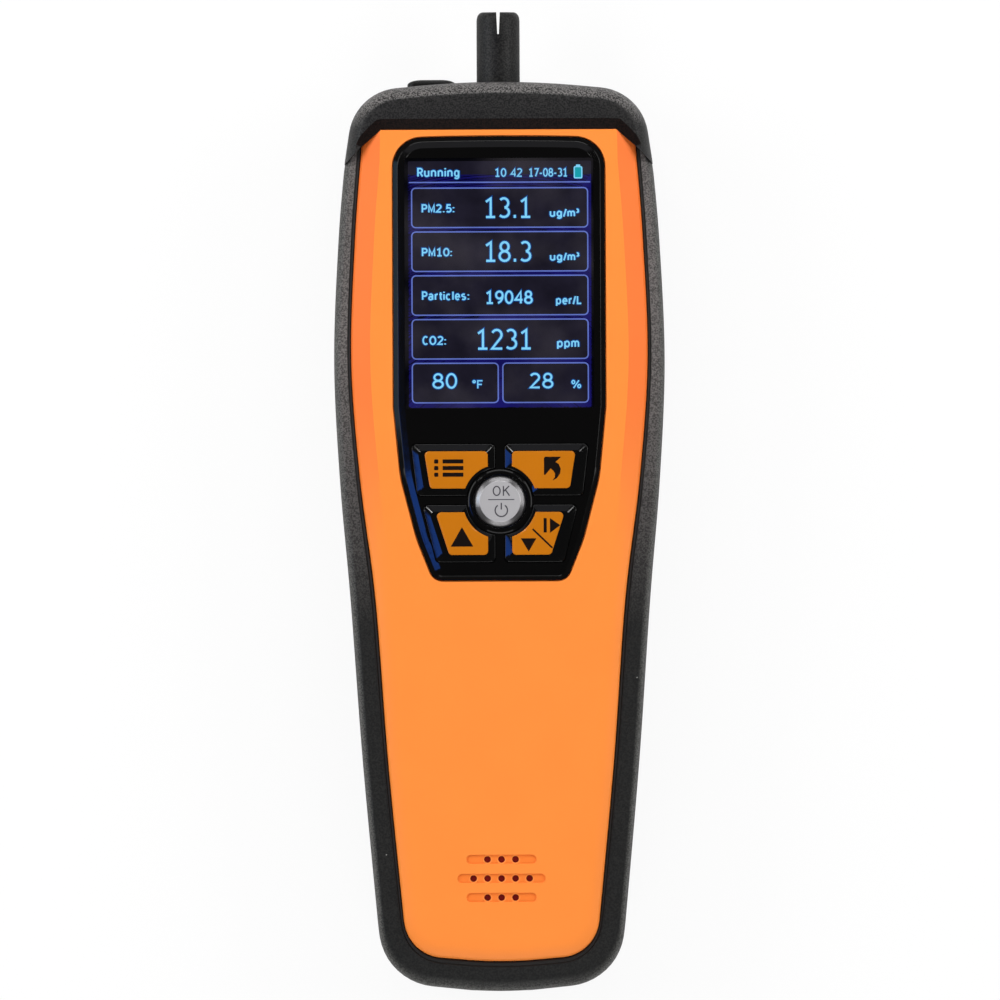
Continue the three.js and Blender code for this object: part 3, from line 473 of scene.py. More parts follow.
# Across the band: distance from the outer edge, or from the inner edge where negative, and the height.
grip_section = [(inner_edge, z_low + 0.6), (-0.4, z_low + 0.15), (-1.4, z_low)]
for step in range(9):
    turn = math.radians(10 * step)
    grip_section.append((roll_x * (1 - math.sin(turn)), z_low + 0.1 + roll_z * (1 - math.cos(turn))))
grip_section += [(distance, z_high - drop) for distance, drop in (
    (0, roll_z), (0.05, 2.7), (0.18, 2.05), (0.42, 1.48), (0.8, 0.98), (1.25, 0.58), (1.7, 0.3), (2.15, 0.11),
    (roll_x, 0.02), (2.7, 0),
)]
strip_start = len(grip_section)
grip_section += [(distance, z_high - drop) for distance, drop in (
    (-strip - 0.1, 0.05), (-strip + 0.02, 0.3), (-strip + 0.12, 0.42), (-strip + 0.3, 0.36), (-0.35, 0.32),
    (-0.1, 0.44), (inner_edge, 0.75),
)]
rings = []
for side in (-1, 1):
    order = range(stations - 1, -1, -1) if side < 0 else range(1, stations)
    for i in order:
        o, n = outer[i], inner[i]
        across = (n - o).normalized()
        ring = []
        for d, z in grip_section:
            p = o + across * d if d >= 0 else n + across * d
            ring.append((side * p.x, p.y, z))
        rings.append(ring)
grip = lofted("grip", rings)
side_faces = (len(rings) - 1) * len(grip_section)
# The low inner strip gets the second material, a painted shade beside the orange panel.
marked(grip, lambda f: f.index < side_faces and f.index % len(grip_section) >= strip_start)
port_z = (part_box("usb_socket")[0].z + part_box("usb_socket")[1].z) / 2 / mm
port_half_x, port_half_z, port_round = 6.2, 4.2, 1.6


def port_ring(grow, y):
    x, z = port_half_x + grow, port_half_z + grow
    return [(p.x, y, port_z + p.y) for p in block(-x, x, -z, z, port_round)]


combined(grip, [lofted("port", [
    port_ring(0.9, body_foot - 2), port_ring(0.9, body_foot + 0.1),
    port_ring(0, body_foot + 1), port_ring(0, panel_foot + 1),
])])
# Painted light and shade on the rubber: lighter towards the sensor end and darker towards the foot, a set
# colour on leaning faces, and darker upright sides.
rubber = moulded("grip_rubber", (0.096, 0.088, 0.085), 0.55, 0.2, 0.035, mottle=0.2, spread=0.08,
                 specular=0.25, dust=0.003, far=(0.0085, 0.0085, 0.0078), painted_lean=(0.075, 0.074, 0.07),
                 painted_wall=(0.03, 0.029, 0.028), pepper=0.5)
# Painted shade: the inner strip beside the orange panel is a much darker rubber.
shaded_strip_rubber = moulded("grip_strip_shade", (0.014, 0.013, 0.012), 0.55, 0.16, 0.012, mottle=0.2, spread=0.08,
                       specular=0.3)
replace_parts(dressed(smoothed(grip, 28), rubber, shaded_strip_rubber), "grip_bumper")
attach(grip, "case")

# ------------------------------------------------------------------ rear cover
# A black moulded tub that carries the battery and the sensors. Four deep screw wells hold it to the front
# cover, louvres let the sampled air out, and a sunken field for a label is left bare.
rear_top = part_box("rear_cover")[1].z / mm
rear_round, side_wall, face_wall = 5, 2, 2.25
turns = [math.radians(11.25 * step) for step in range(9)]
rear_edge = [(-rear_round * (1 - math.sin(turn)), rear_round * (1 - math.cos(turn))) for turn in turns]
rear = stack("rear", panel_outline, [*rear_edge, (0, rear_top)])


def round_cutter(name, x, y, steps, sides=40):
    """A round piece on an upright axis: steps give its radii and heights."""
    angles = [math.tau * k / sides for k in range(sides)]
    return lofted(name, [[(x + r * math.cos(a), y + r * math.sin(a), z) for a in angles] for r, z in steps])


def oblong(x_low, x_high, y_low, y_high):
    return [Vector(p) for p in ((x_low, y_low), (x_high, y_low), (x_high, y_high), (x_low, y_high))]


wells = []
for index in range(1, 5):
    low, high = (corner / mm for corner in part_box(f"case_screw_{index}"))
    wells.append(((low.x + high.x) / 2, (low.y + high.y) / 2))
boss_steps = (3.2, 1.5), (3.2, rear_top)
well_steps = (3.1, -0.4), (2.55, 0.35), (2.55, 11), (1.25, 11.05), (1.25, 20)
combined(rear, [prism("hollow", grown(panel_outline, -side_wall), face_wall, rear_top + 3)])
combined(rear, [round_cutter("boss", x, y, boss_steps) for x, y in wells], "UNION")
combined(rear, [round_cutter("well", x, y, well_steps) for x, y in wells])
louvre_x, louvre_y, louvre_pitch = 7.5, 0.8, 3.2
combined(rear, [
    prism("louvre", oblong(x - louvre_x, x + louvre_x, y - louvre_y, y + louvre_y), -1, 4)
    for x, y in [(11, 53.2 + louvre_pitch * k) for k in range(-2, 3)]
    + [(0, 8.5 + louvre_pitch * k) for k in range(-1, 2)]
])
label_half, label_foot, label_top, label_depth = 18, -59.4, -33.4, 0.4
combined(rear, [prism("label", block(-label_half, label_half, label_foot, label_top, 2), -1, label_depth)])
case_black = moulded("rear_plastic", (0.022, 0.021, 0.021), 0.5, 0.28, 0.02, mottle=0.12, spread=0.08)
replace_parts(dressed(smoothed(rear, 28), case_black), "rear_cover")
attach(rear, "case")

# ------------------------------------------------------------------ front cover
# The orange moulding that carries the window and the keys. A crease runs up each flank: above, the border
# beside it is a flat slope, and towards the foot it softens into a rounded edge.
face = panel_high.z
split = panel_low.z
facet_width, facet_drop, edge_round = 4.5, 2.0, 0.45
soft_drop, soft_start, soft_run = 1.2, 14, 40
crease_outline = rounded(both_sides([
    *panel_lower, (shoulder.x - 0.1, panel_top + 12, 0), (shoulder.x - 12, panel_top + 12, 0),
    (0, panel_top + 12, 0),
]))


def facet_height(distance, y):
    """Height of the cover's border at a distance from its edge, flat above and rounded below."""
    t = max(0, 1 - distance / facet_width)
    soft = min(1, max(0, (soft_start - y) / soft_run))
    soft = soft * soft * (3 - 2 * soft)
    return face - facet_drop * (1 - soft) * t - soft_drop * soft * t**2.6


crease_normals = outline_normals(crease_outline)
rings = [at_height(crease_outline, split), at_height(crease_outline, face - 8)]
for distance, lower in (
    (0, 1), (0.12, 0.4), (edge_round, 0), (1, 0), (1.6, 0), (2.2, 0), (2.8, 0), (3.4, 0), (4, 0),
    (facet_width, 0), (facet_width + 0.5, 0),
):
    ring = []
    for p, n in zip(crease_outline, crease_normals):
        q = p - n * distance
        ring.append((q.x, q.y, facet_height(distance, q.y) - lower * edge_round))
    rings.append(ring)
cover = lofted("cover", rings)
combined(cover, [prism("edge", panel_outline, split - 1, face + 1)], "INTERSECT")
combined(cover, [prism("room", grown(panel_outline, -side_wall), split - 1, face - face_wall)])

# Window and pane: the frame's outline is straight beside the display and drawn in round the keys.
window_low, window_high = (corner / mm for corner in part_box("window_frame"))
window_half = (window_high.x - window_low.x) / 2
window_foot, window_top, window_seat = window_low.y, window_high.y, window_low.z
pane_low, pane_high = (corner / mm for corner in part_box("display_window"))
window_face = pane_high.z
window_outline = rounded(both_sides([
    (0, window_foot, 0),
    (window_half - 9.3, window_foot, 3.2),
    (window_half - 5.4, window_foot + 9.7, 30),
    (window_half - 1.6, window_foot + 24.4, 30),
    (window_half, window_foot + 41, 0),
    (window_half, window_top - 0.4, 7),
    *crowned(window_top, 16, 0.15)[::-1],
]))
combined(cover, [
    prism("seat", grown(window_outline, 0.28), window_seat - 0.05, face + 1),
    prism("through", grown(window_outline, -2.5), face - 5, face + 1),
])


def repeated(name, template, places, material=None):
    """Copies of a template piece on given places, made by a small node tree and baked to one mesh."""
    mesh = bpy.data.meshes.new(name)
    mesh.from_pydata([Vector(p) * mm for p in places], [], [])
    piece = bpy.data.objects.new(name, mesh)
    scene.collection.objects.link(piece)
    tree = bpy.data.node_groups.new(f"{name}_nodes", "GeometryNodeTree")
    slots = {}
    for label, kind, way in (
        ("Places", "Geometry", "INPUT"), ("Template", "Object", "INPUT"), ("Finish", "Material", "INPUT"),
        ("Copies", "Geometry", "OUTPUT"),
    ):
        socket = tree.interface.new_socket(label, in_out=way, socket_type=f"NodeSocket{kind}")
        slots[label] = socket.identifier
    given, info, points, real, dress, result = (tree.nodes.new(kind) for kind in (
        "NodeGroupInput", "GeometryNodeObjectInfo", "GeometryNodeInstanceOnPoints",
        "GeometryNodeRealizeInstances", "GeometryNodeSetMaterial", "NodeGroupOutput",
    ))
    for source, output, target, entry in (
        (given, "Template", info, "Object"),
        (given, "Places", points, "Points"),
        (info, "Geometry", points, "Instance"),
        (points, "Instances", real, "Geometry"),
        (real, "Geometry", dress, "Geometry"),
        (given, "Finish", dress, "Material"),
        (dress, "Geometry", result, "Copies"),
    ):
        tree.links.new(source.outputs[output], target.inputs[entry])
    copies = piece.modifiers.new("copies", "NODES")
    copies.node_group = tree
    copies[slots["Template"]] = template
    copies[slots["Finish"]] = material
    evaluated(piece)
    bpy.data.objects.remove(template)
    return piece


# Buzzer grille: three shallow slots, each with a row of countersunk holes.
hole_pitch, hole_radius = 3.3, 0.78
slot_depth, slot_half = 0.4, 1.1
slot_floor = face - slot_depth
grille_holes = []
for y, half_run, holes in ((-84.4, 8.25, 3), (-88.9, 10.35, 5), (-93.4, 8.25, 3)):
    groove = block(-half_run, half_run, y - slot_half, y + slot_half, 1.05)
    combined(cover, [stack("slot", groove, (
        (-0.1, slot_floor), (0, slot_floor + 0.1), (0, face - 0.06), (0.2, face + 0.2),
    ))])
    drill = round_cutter("drill", 0, 0, (
        (hole_radius, face - 4), (hole_radius, slot_floor - 0.2),
        (hole_radius + 0.32, slot_floor + 0.01), (hole_radius + 0.34, face + 1),
    ), 32)
    row = [((k - (holes - 1) / 2) * hole_pitch, y, 0) for k in range(holes)]
    combined(cover, [repeated("drills", drill, row)])
    grille_holes += row
socket_outline = block(-4.3, 4.3, -1.8, 1.8, 1.4)
combined(cover, [lofted("socket_hole", [
    [(p.x, y, port_z + p.y) for p in socket_outline] for y in (panel_foot - 1, panel_foot + 3)
])])

# Painted shade: the slopes beyond the creases are given a deeper orange, which fades out towards the foot,
# and the slots' floors a deeper orange too.
orange = moulded("orange_plastic", (0.93, 0.26, 0.045), 0.45, 0.22, 0.012, mottle=0.035, specular=0.14)
tree = orange.node_tree
where = linked(tree, "TexCoord").outputs
slope = ranged(tree, axis_of(tree, where["Normal"], "Z"), (0.99, 0.92))
upper_half = ranged(tree, axis_of(tree, where["Object"], "Y"), (-15 * mm, 25 * mm), (0, 0.8))
crease_slope_shade = linked(tree, "Math", operation="MULTIPLY", _0=upper_half, _1=slope)
base = tree.nodes["Principled BSDF"].inputs["Base Color"]
tree.links.new(blended(tree, crease_slope_shade.outputs[0], base.links[0].from_socket, (0.93, 0.175, 0.03)), base)
shaded_floor_orange = moulded("slot_floor", (0.86, 0.205, 0.032), 0.5, 0.22, 0.012, mottle=0.035, specular=0.1)
grille_top = -0.08
smoothed(cover, 20)
# The slot floors get the painted shade.
marked(cover, lambda f: abs(f.center.z / mm - slot_floor) < 0.03 and f.center.y < grille_top)
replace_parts(dressed(cover, orange, shaded_floor_orange), "front_cover")
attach(cover, "case")

# ------------------------------------------------------------------ window frame
# A glossy black moulding clipped into the cover. A bevel runs round its edge, the pane lies flush in it over
# the display, and a low collar stands round the middle key.
key_centre = (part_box("ok_key")[0].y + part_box("ok_key")[1].y) / 2 / mm
key_face = cad_high.z / mm
bevel = [(-inset, window_face - depth) for inset, depth in (
    (0, 1.12), (0.03, 1.04), (0.1, 0.99), (0.98, 0.3), (1.06, 0.26), (1.2, 0.225), (2.5, 0.01), (2.62, 0),
)]
bezel = stack("bezel", window_outline, [(0, window_seat), *bevel])
collar_radius, collar_bore, collar_top = 7.35, 6.4, window_face + 0.35
combined(bezel, [round_cutter("collar", 0, key_centre, (
    (collar_radius + 0.5, window_seat), (collar_radius + 0.5, window_face - 0.2),
    (collar_radius, window_face + 0.1), (collar_radius - 0.12, collar_top - 0.05),
    (collar_radius - 0.3, collar_top),
), 96)], "UNION")
combined(bezel, [round_cutter("bore", 0, key_centre, (
    (collar_bore, window_seat - 1), (collar_bore, collar_top - 0.15), (collar_bore + 0.25, collar_top + 0.1),
    (collar_bore + 0.25, key_face + 1),
), 96)])
lit_y = (pane_low.y + pane_high.y) / 2
pane_x, pane_y = (pane_high.x - pane_low.x) / 2, (pane_high.y - pane_low.y) / 2


def pane_shape(grow):
    x, y = pane_x + grow, pane_y + grow
    return block(-x, x, lit_y - y, lit_y + y, 0.5)


combined(bezel, [prism("opening", pane_shape(0.02), window_seat - 1, key_face + 1)])

# One key's outline: its place left or right and up or down, the radius of its curve round the middle key, and
# its growth all round and at its outer end.
UPPER = {"inner": 2.83, "near": 3.07, "far": 11.9, "outer_far": 17.9, "outer_near": 16.5}
LOWER = {"inner": 2.83, "near": 2.48, "far": 12.6, "outer_far": 12.0, "outer_near": 15.3}


def key_outline(across, up, curve, grow, grow_outer, corner=1.0):
    key = UPPER if up > 0 else LOWER
    inner, near, far = key["inner"] - grow, key["near"] - grow, key["far"] + grow
    start, end = math.asin(near / curve), math.acos(inner / curve)
    angles = [start + (end - start) * k / 14 for k in range(15)]
    arc = [(curve * math.cos(a), curve * math.sin(a), 0) for a in angles]
    corners = [
        (key["outer_near"] + grow_outer, near, corner),
        (key["outer_far"] + grow_outer, far, corner),
        (inner, far, corner),
        *arc[::-1],
    ]
    placed = [Vector((across * p.x, key_centre + up * p.y)) for p in rounded(corners, 7)]
    return placed if across * up > 0 else placed[::-1]


KEYS = (("menu", -1, 1), ("back", 1, 1), ("up", -1, -1), ("down", 1, -1))
cap_curve, cap_margin, cap_outer, key_gap = 8.0, 1.65, 3.0, 0.22
for name, across, up in KEYS:
    hole = key_outline(across, up, cap_curve - key_gap, cap_margin + key_gap, cap_outer + key_gap, 1.2)
    combined(bezel, [prism("key_hole", hole, window_seat - 1, key_face + 1)])


def glossy(name, colour, roughness, wear):
    """A polished moulding: a hard clear shine over the colour, dulled in patches and along its edges."""
    material = moulded(name, colour, roughness, 2.6, 0.02, mottle=0.1, spread=wear)
    tree = material.node_tree
    shader = tree.nodes["Principled BSDF"].inputs
    shader["Coat Roughness"].default_value = 0.06
    up = axis_of(tree, linked(tree, "TexCoord").outputs["Normal"], "Z")
    for socket, edge in (("Specular IOR Level", 0.12), ("Coat Weight", 0.02)):
        tree.links.new(ranged(tree, up, (0.9, 0.97), (edge, 0.5)), shader[socket])
    return material


gloss = glossy("gloss_black", (0.0025, 0.0024, 0.0024), 0.1, 0.03)
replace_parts(dressed(smoothed(bezel, 24), gloss), "window_frame")
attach(bezel, "case")

# ------------------------------------------------------------------ display pane
# A clear acrylic pane, flush with the frame and almost gapless in it. Its polished face carries a faint film.
pane = stack("pane", pane_shape(0), ((0, pane_low.z), (0, pane_high.z - 0.03), (-0.03, pane_high.z)))
clear, tree = bare_material("clear_pane")
through = linked(tree, "BsdfTransparent", {"Color": (0.94, 0.95, 0.96, 1)})
mirror = linked(tree, "BsdfAnisotropic", {"Roughness": 0.04})
fresnel = linked(tree, "Fresnel", {"IOR": 1.49})
# The far side of the pane only lets light through.
far_side = linked(tree, "NewGeometry").outputs["Backfacing"]
bounce = linked(tree, "Math", operation="SUBTRACT", _0=fresnel, _1=far_side)
bounce.use_clamp = True
surface = linked(tree, "MixShader", _0=bounce, _1=through, _2=mirror)
film = linked(tree, "BsdfDiffuse", {"Color": (0.5, 0.45, 0.5, 1)})
spot = linked(tree, "TexCoord").outputs["Object"]
smear = linked(tree, "TexNoise", {"Scale": 55, "Detail": 5}, Vector=spot)
hazed = linked(tree, "MixShader", _0=ranged(tree, smear, (0.45, 0.8), (0, 0.03)), _1=surface, _2=film)
linked(tree, "OutputMaterial", _0=hazed)
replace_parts(dressed(smoothed(pane, 20), clear), "display_window")
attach(pane, "case")

# ------------------------------------------------------------------ display picture
# The lit face of the liquid crystal panel: rounded boxes on a navy ground, with plain readings of fine dust,
# gas, temperature and humidity. Every layer is its own thin shape just above the panel's front glass.
picture_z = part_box("lcd_panel")[1].z / mm
layer = 0.02
lit_top, lit_half = 80.3, 21.6
centre_x = 0.2


def lit(name, colour, strength, ripple):
    """Light from the panel, faintly uneven as a backlight is."""
    material, tree = bare_material(name)
    spot = linked(tree, "TexCoord").outputs["Object"]
    cells = linked(tree, "TexNoise", {"Scale": 160, "Detail": 3}, Vector=spot)
    level = ranged(tree, cells, (0, 1), (strength * (1 - ripple), strength * (1 + ripple)))
    glow = linked(tree, "Emission", {"Color": (*colour, 1)}, Strength=level)
    linked(tree, "OutputMaterial", _0=glow)
    return material


navy = lit("ground_glow", (0.012, 0.010, 0.16), 0.75, 0.5)
dusk = lit("box_glow", (0.016, 0.014, 0.026), 0.85, 0.6)
violet = lit("line_glow", (0.14, 0.20, 0.62), 1.0, 0.25)
cyan = lit("digit_glow", (0.22, 0.66, 0.95), 1.15, 0.15)
teal = lit("battery_glow", (0.0, 0.42, 0.5), 0.9, 0.2)
halo = lit("halo_glow", (0.01, 0.08, 0.34), 0.8, 0.4)
picture = []


def flat(name, outline, level, material, hole=None):
    """A flat shape of the picture; hole leaves only a line round it."""
    z = picture_z + layer * level
    if hole:
        count = len(outline)
        verts = at_height(outline, z) + at_height(hole, z)
        faces = [(i, (i + 1) % count, count + (i + 1) % count, count + i) for i in range(count)]
    else:
        verts, faces = at_height(outline, z), [tuple(range(len(outline)))]
    picture.append(dressed(mesh_piece(name, verts, faces), material))


def arc(x, y, rx, ry, start, end, steps=12):
    angles = [math.radians(start + (end - start) * k / steps) for k in range(steps + 1)]
    return [(x + rx * math.cos(a), y + ry * math.sin(a)) for a in angles]


def loop(x, y, rx, ry, steps):
    return arc(x, y, rx, ry, 90, 450, steps)


# Plain figures, letters and signs as pen strokes, in a box one capital high.
STROKES = {
    "0": [loop(0.3, 0.5, 0.25, 0.45, 24)],
    "1": [[(0.08, 0.78), (0.32, 0.94), (0.32, 0.05)], [(0.08, 0.05), (0.54, 0.05)]],
    "2": [arc(0.29, 0.71, 0.235, 0.24, 155, -35) + [(0.06, 0.05), (0.56, 0.05)]],
    "3": [arc(0.27, 0.725, 0.225, 0.225, 140, -80), arc(0.27, 0.28, 0.26, 0.23, 80, -140)],
    "4": [[(0.45, 0.02), (0.45, 0.93), (0.04, 0.3), (0.58, 0.3)]],
    "5": [[(0.5, 0.94), (0.14, 0.94), (0.1, 0.52)] + arc(0.27, 0.31, 0.25, 0.26, 125, -140)],
    "7": [[(0.05, 0.94), (0.55, 0.94), (0.2, 0.02)]],
    "8": [loop(0.3, 0.73, 0.2, 0.215, 20), loop(0.3, 0.275, 0.25, 0.23, 20)],
    "9": [loop(0.3, 0.67, 0.24, 0.275, 20), arc(0.1, 0.62, 0.44, 0.57, 5, -78)],
    "C": [arc(0.31, 0.5, 0.25, 0.46, 48, 312, 18)],
    "F": [[(0.08, 0), (0.08, 0.95), (0.5, 0.95)], [(0.08, 0.5), (0.44, 0.5)]],
    "K": [[(0.08, 0), (0.08, 1)], [(0.55, 1), (0.1, 0.45)], [(0.24, 0.62), (0.58, 0)]],
    "L": [[(0.08, 1), (0.08, 0.05), (0.5, 0.05)]],
    "M": [[(0.06, 0), (0.06, 0.95), (0.33, 0.15), (0.6, 0.95), (0.6, 0)]],
    "O": [loop(0.34, 0.5, 0.28, 0.46, 24)],
    "P": [[(0.08, 0), (0.08, 0.95), (0.3, 0.95)] + arc(0.3, 0.7, 0.23, 0.25, 90, -90) + [(0.08, 0.45)]],
    "R": [[(0.08, 0), (0.08, 0.95), (0.3, 0.95)] + arc(0.3, 0.71, 0.22, 0.24, 90, -90) + [(0.08, 0.47)],
          [(0.3, 0.47), (0.56, 0)]],
    "a": [loop(0.26, 0.2, 0.19, 0.19, 16), [(0.47, 0), (0.47, 0.45)] + arc(0.28, 0.46, 0.19, 0.23, 0, 150)],
    "c": [arc(0.28, 0.34, 0.22, 0.33, 50, 310, 16)],
    "e": [[(0.08, 0.36), (0.5, 0.36)] + arc(0.29, 0.35, 0.21, 0.34, 5, 315, 16)],
    "g": [loop(0.27, 0.35, 0.2, 0.33, 18),
          [(0.48, 0.7), (0.48, -0.05)] + arc(0.27, -0.05, 0.21, 0.2, 0, -155)],
    "i": [[(0.08, 0), (0.08, 0.68)], [(0.08, 0.84), (0.08, 1)]],
    "l": [[(0.08, 0), (0.08, 1)]],
    "m": [[(0.06, 0), (0.06, 0.7)], arc(0.22, 0.46, 0.16, 0.22, 180, 0) + [(0.38, 0)],
          arc(0.54, 0.46, 0.16, 0.22, 180, 0) + [(0.7, 0)]],
    "n": [[(0.08, 0), (0.08, 0.7)], arc(0.28, 0.44, 0.2, 0.24, 180, 0) + [(0.48, 0)]],
    "p": [[(0.08, 0.7), (0.08, -0.25)], loop(0.29, 0.35, 0.21, 0.33, 18)],
    "r": [[(0.08, 0), (0.08, 0.7)], arc(0.3, 0.42, 0.22, 0.26, 180, 80, 8)],
    "s": [arc(0.26, 0.52, 0.18, 0.15, 45, 250) + arc(0.26, 0.19, 0.2, 0.17, 75, -140)],
    "t": [[(0.17, 0.92), (0.17, 0.2)] + arc(0.3, 0.2, 0.13, 0.16, 180, 280, 6), [(0.02, 0.66), (0.34, 0.66)]],
    "u": [[(0.08, 0.7), (0.08, 0.26)] + arc(0.28, 0.26, 0.2, 0.24, 180, 360), [(0.48, 0), (0.48, 0.7)]],
    "\u00b3": [arc(0.12, 0.86, 0.09, 0.1, 140, -80), arc(0.12, 0.66, 0.11, 0.1, 80, -140)],
    "\u00b0": [loop(0.12, 0.84, 0.1, 0.13, 14)],
    "%": [loop(0.14, 0.74, 0.11, 0.2, 14), loop(0.6, 0.24, 0.11, 0.2, 14), [(0.16, 0), (0.58, 0.97)]],
    "/": [[(0.02, -0.04), (0.26, 1)]],
    ".": [[(0.11, 0.0), (0.11, 0.15)]],
    ":": [[(0.08, 0.0), (0.08, 0.15)], [(0.08, 0.5), (0.08, 0.65)]],
    "-": [[(0.04, 0.38), (0.34, 0.38)]],
    " ": [],
}
WIDTHS = {".": 0.22, "-": 0.38, " ": 0.3, ":": 0.16, "/": 0.28, "\u00b0": 0.24, "\u00b3": 0.24, "%": 0.74,
          "M": 0.66, "m": 0.76, "O": 0.68, "i": 0.16, "l": 0.16, "r": 0.36, "t": 0.34, "L": 0.52}
plain_width, letter_gap = 0.58, 0.13


def stroke(name, points, width, z, material):
    """A pen stroke of even width along points, as a flat strip."""
    closed = (Vector(points[0]) - Vector(points[-1])).length < 1e-6
    points = [Vector(p) for p in points]
    verts = []
    for i, here in enumerate(points):
        back = points[i - 1] if i else (points[-2] if closed else here)
        on = points[i + 1] if i + 1 < len(points) else (points[1] if closed else here)
        a = (here - back).normalized() if (here - back).length else (on - here).normalized()
        b = (on - here).normalized() if (on - here).length else a
        side = (a + b).normalized().orthogonal()
        side *= width / 2 / max(0.5, side.dot(a.orthogonal()))
        verts += [(*(here + side), z), (*(here - side), z)]
    faces = [(2 * i, 2 * i + 2, 2 * i + 3, 2 * i + 1) for i in range(len(points) - 1)]
    return dressed(mesh_piece(name, verts, faces), material)


def written(name, words, left, right, foot, tall, z, pen, material):
    """Words drawn with a pen of given width, with capitals tall millimetres high, between left and right."""
    widths = [WIDTHS.get(c, plain_width) for c in words]
    across = (right - left) / (sum(width + letter_gap for width in widths) - letter_gap)
    at = 0
    made = []
    for c, width in zip(words, widths):
        for path in STROKES[c]:
            placed = [(left + (at + x) * across, foot + y * tall) for x, y in path]
            made.append(stroke(name, placed, pen, z, material))
        at += width + letter_gap
    return made


row_top, row_pitch, row_height = 74.1, 10.33, 9.6
lit_left, lit_right = centre_x - lit_half, centre_x + lit_half
box_left, box_right, box_round, line_width = centre_x - 20.9, centre_x + 20.9, 1.1, 0.3
flat("ground", block(lit_left, lit_right, row_top - 5 * row_pitch - 0.3, row_top + 3.6, 0.6), 0, navy)
flat("head", block(lit_left, lit_right, row_top + 3.0, lit_top, 0.3), 1, dusk)
flat("head_line", block(centre_x - 21.4, centre_x + 21.4, row_top + 1.05, row_top + 1.35, 0.1, 2), 2, violet)
frames = [(box_left, box_right, row) for row in range(4)]
frames += [(box_left, centre_x - 0.35, 4), (centre_x + 0.45, box_right, 4)]
for left, right, row in frames:
    top = row_top - row * row_pitch
    edge = block(left, right, top - row_height, top, box_round)
    flat("box", edge, 1, dusk)
    flat("frame", edge, 2, violet, hole=grown(edge, -line_width))
label_pen, clock_pen, figure_pen, small_pen = 0.36, 0.28, 0.52, 0.46
for words, left, right, row, drop, tall, pen in (
    ("Running", -19.2, -9.2, 0, -2.62, 1.95, label_pen),
    ("10 42", -0.9, 5.5, 0, -2.5, 1.95, clock_pen),
    ("17-08-31", 7.1, 16.2, 0, -2.5, 1.95, clock_pen),
    ("PM2.5:", -18.2, -10.5, 0, 5.85, 1.85, label_pen),
    ("13.1", -3.4, 7.6, 0, 7.25, 4.9, figure_pen),
    ("ug/m\u00b3", 12.0, 18.8, 0, 6.9, 1.7, label_pen),
    ("PM10:", -18.2, -11.1, 1, 5.85, 1.85, label_pen),
    ("18.3", -3.4, 7.6, 1, 7.25, 4.9, figure_pen),
    ("ug/m\u00b3", 12.0, 18.8, 1, 6.9, 1.7, label_pen),
    ("Particles:", -18.2, -7.1, 2, 5.8, 1.9, label_pen),
    ("19048", -3.2, 7.8, 2, 6.8, 3.05, small_pen),
    ("per/L", 13.4, 19.4, 2, 6.9, 1.8, label_pen),
    ("CO2:", -18.1, -12.6, 3, 6.05, 1.95, label_pen),
    ("1231", -5.4, 7.6, 3, 7.3, 4.9, figure_pen),
    ("ppm", 13.6, 18.8, 3, 6.7, 1.9, label_pen),
    ("80", -15.8, -10.1, 4, 6.1, 3.6, small_pen),
    ("\u00b0F", -6.3, -3.8, 4, 6.1, 1.9, clock_pen),
    ("28", 7.1, 12.6, 4, 6.1, 3.6, small_pen),
    ("%", 17.0, 19.2, 4, 6.1, 1.9, clock_pen),
):
    foot = row_top - row * row_pitch - drop
    for name, level, width, glow in (("reading_halo", 3, pen + 0.42, halo), ("reading", 4, pen, cyan)):
        picture += written(name, words, left, right, foot, tall, picture_z + level * layer, width, glow)
flat("battery_sign", block(17.7, 19.75, 76.1, 79.0, 0.35, 4), 3, cyan)
flat("battery_cap", block(18.2, 19.25, 79.0, 79.4, 0.15, 3), 3, cyan)
flat("battery_fill", block(17.98, 19.47, 76.38, 78.75, 0.2, 3), 4, teal)


def joined(name, pieces):
    """One piece out of several, keeping their materials."""
    for piece in bpy.context.selected_objects:
        piece.select_set(False)
    for piece in pieces:
        piece.select_set(True)
    bpy.context.view_layer.objects.active = pieces[0]
    bpy.ops.object.join()
    pieces[0].name = name
    return pieces[0]


screen = joined("display_picture", picture)
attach(screen, "case")

# ------------------------------------------------------------------ four keys
# Each key is a gloss black cap with a bevelled rim and a concave end round the middle key. An amber inlay
# with a printed black sign is pressed into its top.
key_gloss = glossy("key_black", (0.003, 0.003, 0.003), 0.1, 0.03)
print_black = moulded("sign_ink", (0.006, 0.003, 0.002), 0.45, 0.1, 0.001, mottle=0.2, specular=0.1)
amber = glossy("amber_inlay", (0.52, 0.16, 0.004), 0.24, 0.02)
inlay_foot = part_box("menu_key_inlay")[0].z / mm
cap_foot = window_seat + 0.05
flange_foot = cap_foot - 1.15
inlay_curve, inlay_gap, ink = 8.75, 0.05, 0.015


def sign(points):
    return [Vector(p) for p in points]


def bar(x_low, x_high, y_low, y_high, radius=0.12):
    return block(x_low, x_high, y_low, y_high, radius, 3)


